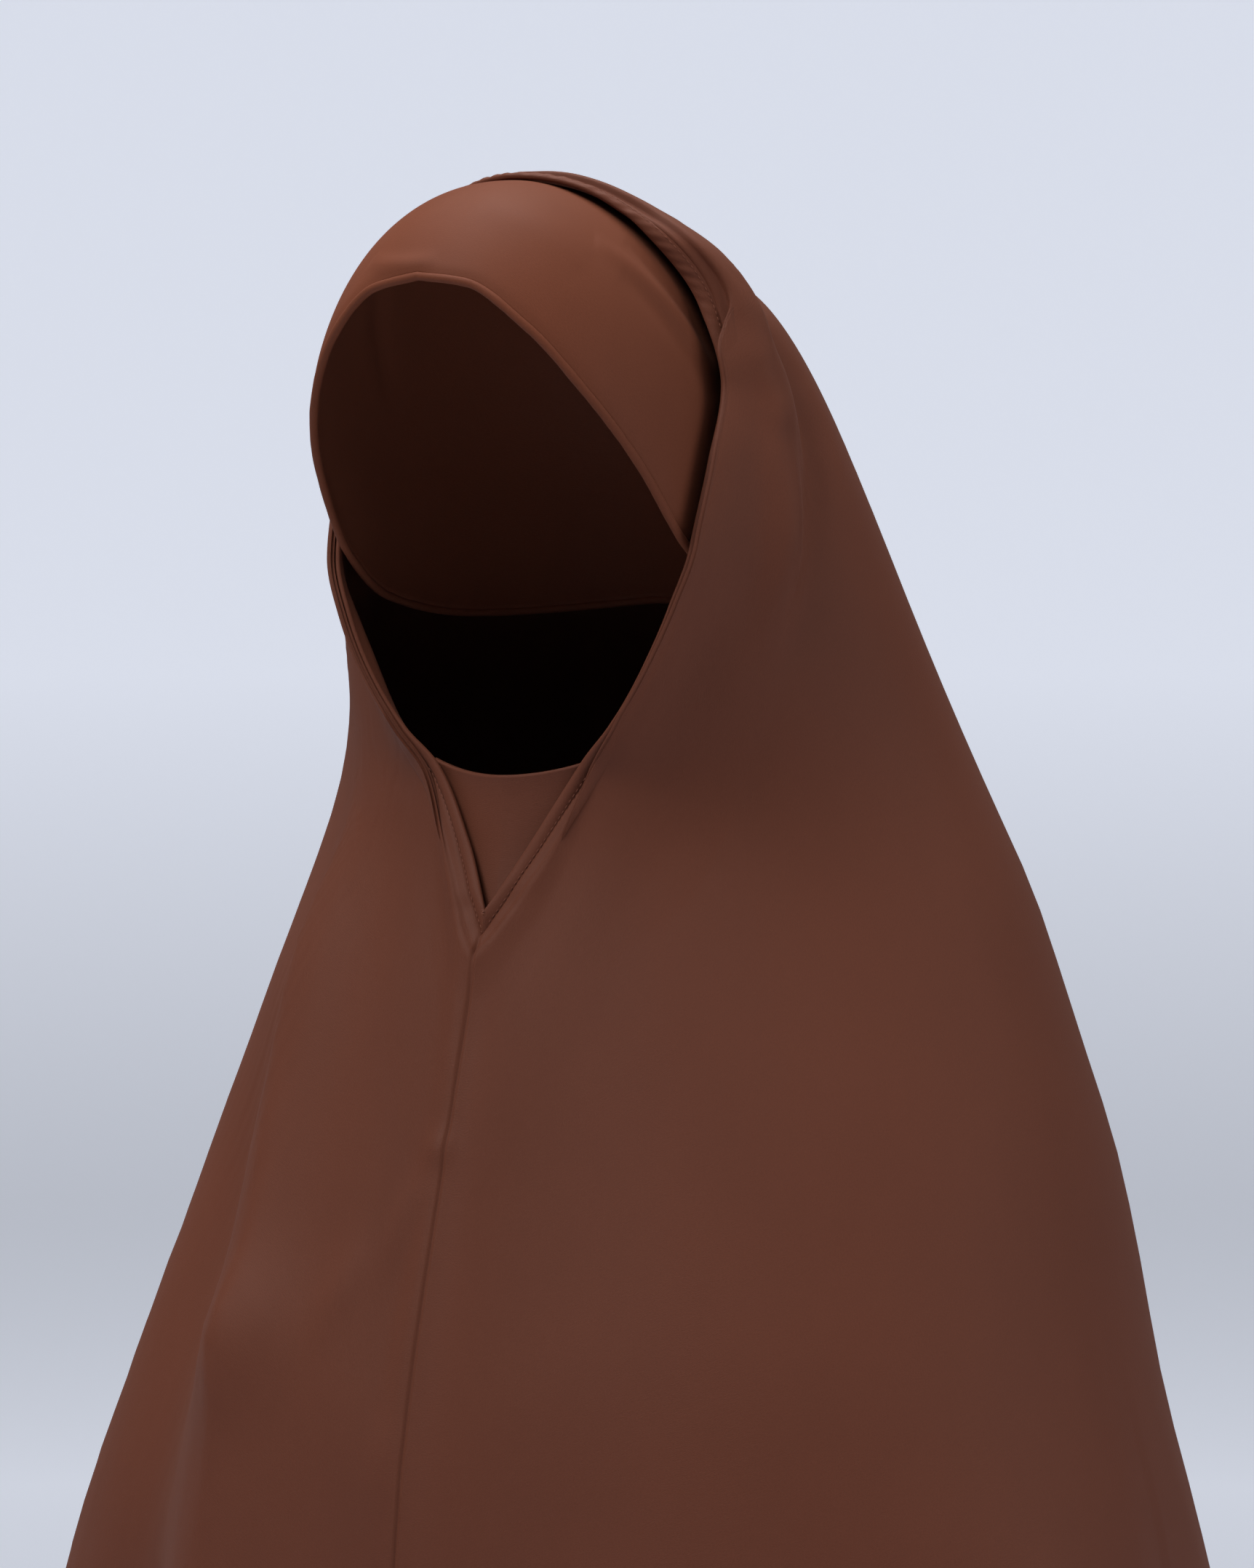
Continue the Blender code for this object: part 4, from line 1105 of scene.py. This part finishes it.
class VeilColours(bpy.types.PropertyGroup):
    """Colours and finish of the cloth and the thread."""

    veil: bpy.props.FloatVectorProperty(
        name="Veil",
        description="Colour of the veil's crepe",
        subtype="COLOR",
        default=(0.134, 0.0405, 0.0215),
        min=0,
        max=1,
    )
    band: bpy.props.FloatVectorProperty(
        name="Band",
        description="Colour of the forehead band's crepe",
        subtype="COLOR",
        default=(0.164, 0.050, 0.026),
        min=0,
        max=1,
    )
    thread: bpy.props.FloatVectorProperty(
        name="Thread",
        description="Colour of the sewing thread",
        subtype="COLOR",
        default=(0.215, 0.075, 0.045),
        min=0,
        max=1,
    )
    veil_roughness: bpy.props.FloatProperty(
        name="Veil Roughness",
        description="How matt the veil's crepe is",
        subtype="FACTOR",
        default=0.62,
        min=0,
        max=1,
    )
    band_roughness: bpy.props.FloatProperty(
        name="Band Roughness",
        description="How matt the band's crepe is",
        subtype="FACTOR",
        default=0.55,
        min=0,
        max=1,
    )
    sheen: bpy.props.FloatProperty(
        name="Sheen",
        description="Strength of the cloth's soft sheen",
        subtype="FACTOR",
        default=0.04,
        min=0,
        max=1,
    )


class StudioSettings(bpy.types.PropertyGroup):
    """The camera's angle and the studio's light."""

    azimuth: bpy.props.FloatProperty(
        name="Azimuth",
        description="Camera's angle from the front, towards the wearer's left",
        subtype="ANGLE",
        default=radians(30),
    )
    distance: bpy.props.FloatProperty(
        name="Distance",
        description="Camera's distance from the point it looks at",
        default=1.8,
        unit="LENGTH",
    )
    backdrop: bpy.props.FloatVectorProperty(
        name="Backdrop",
        description="Colour of the floor and the room",
        subtype="COLOR",
        default=(0.64, 0.67, 0.75),
        min=0,
        max=1,
    )
    key_power: bpy.props.FloatProperty(
        name="Key Light",
        description="Power of the large soft light from the upper left, in watts",
        default=86,
    )
    room_light: bpy.props.FloatProperty(
        name="Room Light",
        description="Strength of the light from all round",
        default=0.075,
    )


def dress(obj, slot, *nodes):
    """Makes a piece ride on the object's body and stand for its CAD nodes."""
    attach(obj, "root")
    if nodes:
        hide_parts(*nodes)
    return obj


class VEIL_OT_face_hem(bpy.types.Operator):
    """Sew the turned hem around the face and its row of stitches"""

    bl_idname = "veil.face_hem"
    bl_label = "Face Hem"

    def execute(self, context):
        sizes, colours = context.scene.veil_sizes, context.scene.veil_colours
        veil = Veil(sizes)
        grid = face_hem_grid(veil)
        hem = cloth_piece("face_hem_strip", grid, 0, veil_crepe(colours), True, True)
        dress(hem, "crepe", "face_hem")
        side = column_sides(HEM_COLUMNS)[None]
        away = np.full(side.shape, sizes.stitch_distance * 0.92)
        height = 0 * side + HEM_CROWN * 0.1
        line = veil.shaped(side, veil.reach_at(side, away), height)[0]
        above = veil.shaped(side, veil.reach_at(side, away), height + 0.001)[0]
        places = line_of_stitches(line, above - line, sizes.stitch_pitch)
        stitches = stitch_row("face_hem_stitches", *places, sizes, sewing_thread(colours))
        dress(stitches, "crepe")
        return {"FINISHED"}


class VEIL_OT_neckline_tack(bpy.types.Operator):
    """Sew the hem's two arms together at the neckline's point"""

    bl_idname = "veil.neckline_tack"
    bl_label = "Neckline Tack"

    def execute(self, context):
        sizes, colours = context.scene.veil_sizes, context.scene.veil_colours
        veil = Veil(sizes)
        away = sizes.stitch_distance * np.linspace(0.05, 0.19, TACK_STITCHES)[:, None]
        side = np.zeros_like(away)
        reach = veil.reach_at(side, away)
        height = HEM_CROWN / 2 + LAP_HEIGHT / 2 + 0 * away
        places = veil.shaped(side, reach, height)[:, 0]
        above = veil.shaped(side, reach, height + 0.001)[:, 0]
        lean = TACK_LEAN * (-1.0) ** np.arange(TACK_STITCHES)
        down = unit(places[-1] - places[0])
        directions = unit(np.array([1.0, 0, 0]) + lean[:, None] * down)
        thread = sewing_thread(colours)
        tack = stitch_row("neckline_tack", places, directions, unit(above - places), sizes, thread)
        dress(tack, "crepe")
        return {"FINISHED"}


class VEIL_OT_cloth(bpy.types.Operator):
    """Drape the veil's cloth from the face to its sewn lower hem"""

    bl_idname = "veil.cloth"
    bl_label = "Draped Cloth"

    def execute(self, context):
        sizes, colours = context.scene.veil_sizes, context.scene.veil_colours
        veil = Veil(sizes)
        sides = column_sides(VEIL_COLUMNS)
        grid, reach = veil.body(sides)
        cloth = cloth_piece("veil_cloth", grid, CLOTH_WALL, veil_crepe(colours))
        dress(cloth, "crepe", "veil_body")
        row = len(grid) - 1 - LOWER_HEM_ROWS
        normals = grid_normals(grid, True)[row]
        places = line_of_stitches(grid[row], normals, sizes.stitch_pitch)
        stitches = stitch_row("lower_hem_stitches", *places, sizes, sewing_thread(colours))
        dress(stitches, "crepe")
        return {"FINISHED"}


class VEIL_OT_forehead_band(bpy.types.Operator):
    """Stretch the forehead band over the head, with its rolled lower edge"""

    bl_idname = "veil.forehead_band"
    bl_label = "Forehead Band"

    def execute(self, context):
        sizes, colours = context.scene.veil_sizes, context.scene.veil_colours
        band = cloth_piece("band_cloth", band_grid(sizes), BAND_WALL, band_crepe(colours))
        dress(band, "band_crepe", "forehead_band")
        edge = cloth_piece("band_rolled_edge", bead_grid(sizes), 0, band_crepe(colours), True, True)
        dress(edge, "band_crepe", "band_edge")
        return {"FINISHED"}


class VEIL_OT_neck_panel(bpy.types.Operator):
    """Set the inner panel behind the neckline"""

    bl_idname = "veil.neck_panel"
    bl_label = "Neck Panel"

    def execute(self, context):
        colours = context.scene.veil_colours
        grid = panel_grid(Drape())
        panel = cloth_piece("panel_cloth", grid, CLOTH_WALL, veil_crepe(colours), False)
        dress(panel, "crepe", "neck_panel")
        return {"FINISHED"}


class VEIL_OT_studio(bpy.types.Operator):
    """Set up the floor, the soft light and the camera"""

    bl_idname = "veil.studio"
    bl_label = "Studio"

    def execute(self, context):
        settings = context.scene.veil_studio
        right = Vector((cos(settings.azimuth), sin(settings.azimuth), 0))
        back = Vector((sin(settings.azimuth), -cos(settings.azimuth), 0))
        target = Vector((0, 0, VIEW_HEIGHT)) + right * VIEW_SHIFT
        lens = bpy.data.cameras.new("Camera")
        lens.sensor_width = 36
        lens.sensor_fit = "AUTO"
        lens.lens = 36 * VIEW_FOCUS / 2156
        camera = bpy.data.objects.new("Camera", lens)
        context.collection.objects.link(camera)
        camera.location = target + back * settings.distance
        camera.rotation_euler = (-back).to_track_quat("-Z", "Y").to_euler()
        context.scene.camera = camera
        add_room(settings)
        aim = Vector((0, 0, -0.35))
        power = settings.key_power
        for name, ahead, aside, above, size, share in LIGHTS:
            offset = back * ahead + right * aside + Vector((0, 0, above))
            add_light(name, aim, offset, size, power * share)
        world = bpy.data.worlds.new("Room Light")
        world.use_nodes = True
        light = world.node_tree.nodes["Background"]
        light.inputs["Color"].default_value = (0.93, 0.96, 1.0, 1)
        light.inputs["Strength"].default_value = settings.room_light
        context.scene.world = world
        context.scene.view_settings.view_transform = "Standard"
        return {"FINISHED"}


def add_light(name, aim, offset, size, power):
    """A large square light that faces the object."""
    light = bpy.data.lights.new(name, "AREA")
    light.size = size
    light.energy = power
    lamp = bpy.data.objects.new(name, light)
    bpy.context.collection.objects.link(lamp)
    lamp.location = aim + offset
    lamp.rotation_euler = (-offset).to_track_quat("-Z", "Y").to_euler()
    lamp.visible_camera = False
    return lamp


def add_room(settings):
    """A round pale floor that turns up into a wall far behind the object."""
    bpy.ops.object.select_all(action="DESELECT")
    bpy.ops.mesh.primitive_grid_add(x_subdivisions=96, y_subdivisions=28, size=1)
    room = bpy.context.object
    room.name = room.data.name = "studio_floor"
    angle = np.linspace(0, 2 * pi, 97)
    place = np.linspace(0, 1, 29)
    turned = np.clip((place - 0.45) / 0.35, 0, 1) * pi / 2
    radius = np.where(place < 0.45, place / 0.45 * FLOOR_RADIUS, FLOOR_RADIUS + WALL_BEND * np.sin(turned))
    height = np.where(place < 0.45, 0, WALL_BEND * (1 - np.cos(turned)))
    height = height + np.clip((place - 0.80) / 0.20, 0, 1) * WALL_BEND
    x = radius[:, None] * np.cos(angle)
    y = radius[:, None] * np.sin(angle)
    z = FLOOR_LEVEL + np.broadcast_to(height[:, None], x.shape)
    room.data.vertices.foreach_set("co", np.stack([x, y, z], -1).astype(np.float32).ravel())
    room.data.update()
    bpy.ops.object.mode_set(mode="EDIT")
    bpy.ops.mesh.select_all(action="SELECT")
    bpy.ops.mesh.remove_doubles(threshold=1e-5)
    bpy.ops.mesh.normals_make_consistent(inside=True)
    bpy.ops.object.mode_set(mode="OBJECT")
    bpy.ops.object.shade_smooth()
    material = bpy.data.materials.new("Pale Room")
    material.use_nodes = True
    shader = material.node_tree.nodes["Principled BSDF"]
    shader.inputs["Base Color"].default_value = (*settings.backdrop, 1)
    shader.inputs["Roughness"].default_value = 0.9
    shader.inputs["Specular IOR Level"].default_value = 0.1
    shader.inputs["Emission Color"].default_value = (*settings.backdrop, 1)
    tree = material.node_tree
    ray = tree.nodes.new("ShaderNodeLightPath")
    place = tree.nodes.new("ShaderNodeTexCoord")
    split = tree.nodes.new("ShaderNodeSeparateXYZ")
    tree.links.new(place.outputs["Object"], split.inputs[0])
    glow = tree.nodes.new("ShaderNodeMapRange")
    glow.inputs["From Min"].default_value = FLOOR_LEVEL
    glow.inputs["From Max"].default_value = FLOOR_LEVEL + 1
    glow.inputs["To Min"].default_value = FLOOR_GLOW
    glow.inputs["To Max"].default_value = WALL_GLOW
    tree.links.new(split.outputs["Z"], glow.inputs["Value"])
    run = tree.nodes.new("ShaderNodeVectorMath")
    run.operation = "LENGTH"
    tree.links.new(place.outputs["Object"], run.inputs[0])
    spread = tree.nodes.new("ShaderNodeMapRange")
    spread.inputs["From Min"].default_value = NEAR_FLOOR
    spread.inputs["From Max"].default_value = FAR_FLOOR
    spread.inputs["To Min"].default_value = NEAR_GLOW_SHARE
    tree.links.new(run.outputs["Value"], spread.inputs["Value"])
    strength = maths(tree, "MULTIPLY", glow.outputs["Result"], spread.outputs["Result"])
    seen = maths(tree, "MULTIPLY", ray.outputs["Is Camera Ray"], strength)
    tree.links.new(seen, shader.inputs["Emission Strength"])
    room.data.materials.clear()
    room.data.materials.append(material)


class VEIL_PT_panel(bpy.types.Panel):
    """Lists the veil's pieces and their sizes and colours"""

    bl_idname = "VEIL_PT_panel"
    bl_label = "Khimar Veil"
    bl_space_type = "VIEW_3D"
    bl_region_type = "UI"
    bl_category = "Veil"

    def draw(self, context):
        layout = self.layout
        for operator in PIECES:
            layout.operator(operator.bl_idname)
        for label, settings in (
            ("Sizes", context.scene.veil_sizes),
            ("Colours", context.scene.veil_colours),
            ("Studio", context.scene.veil_studio),
        ):
            box = layout.box()
            box.label(text=label)
            for name in settings.__annotations__:
                box.prop(settings, name)


SETTINGS = (VeilSizes, VeilColours, StudioSettings)
PIECES = (
    VEIL_OT_face_hem,
    VEIL_OT_neckline_tack,
    VEIL_OT_cloth,
    VEIL_OT_forehead_band,
    VEIL_OT_neck_panel,
    VEIL_OT_studio,
)


def register():
    for item in SETTINGS + PIECES + (VEIL_PT_panel,):
        bpy.utils.register_class(item)
    bpy.types.Scene.veil_sizes = bpy.props.PointerProperty(type=VeilSizes)
    bpy.types.Scene.veil_colours = bpy.props.PointerProperty(type=VeilColours)
    bpy.types.Scene.veil_studio = bpy.props.PointerProperty(type=StudioSettings)


def unregister():
    del bpy.types.Scene.veil_studio
    del bpy.types.Scene.veil_colours
    del bpy.types.Scene.veil_sizes
    for item in reversed(SETTINGS + PIECES + (VEIL_PT_panel,)):
        bpy.utils.unregister_class(item)


def main():
    register()
    bpy.ops.veil.face_hem()
    bpy.ops.veil.neckline_tack()
    bpy.ops.veil.cloth()
    bpy.ops.veil.forehead_band()
    bpy.ops.veil.neck_panel()
    bpy.ops.veil.studio()


if __name__ == "__main__":
    main()
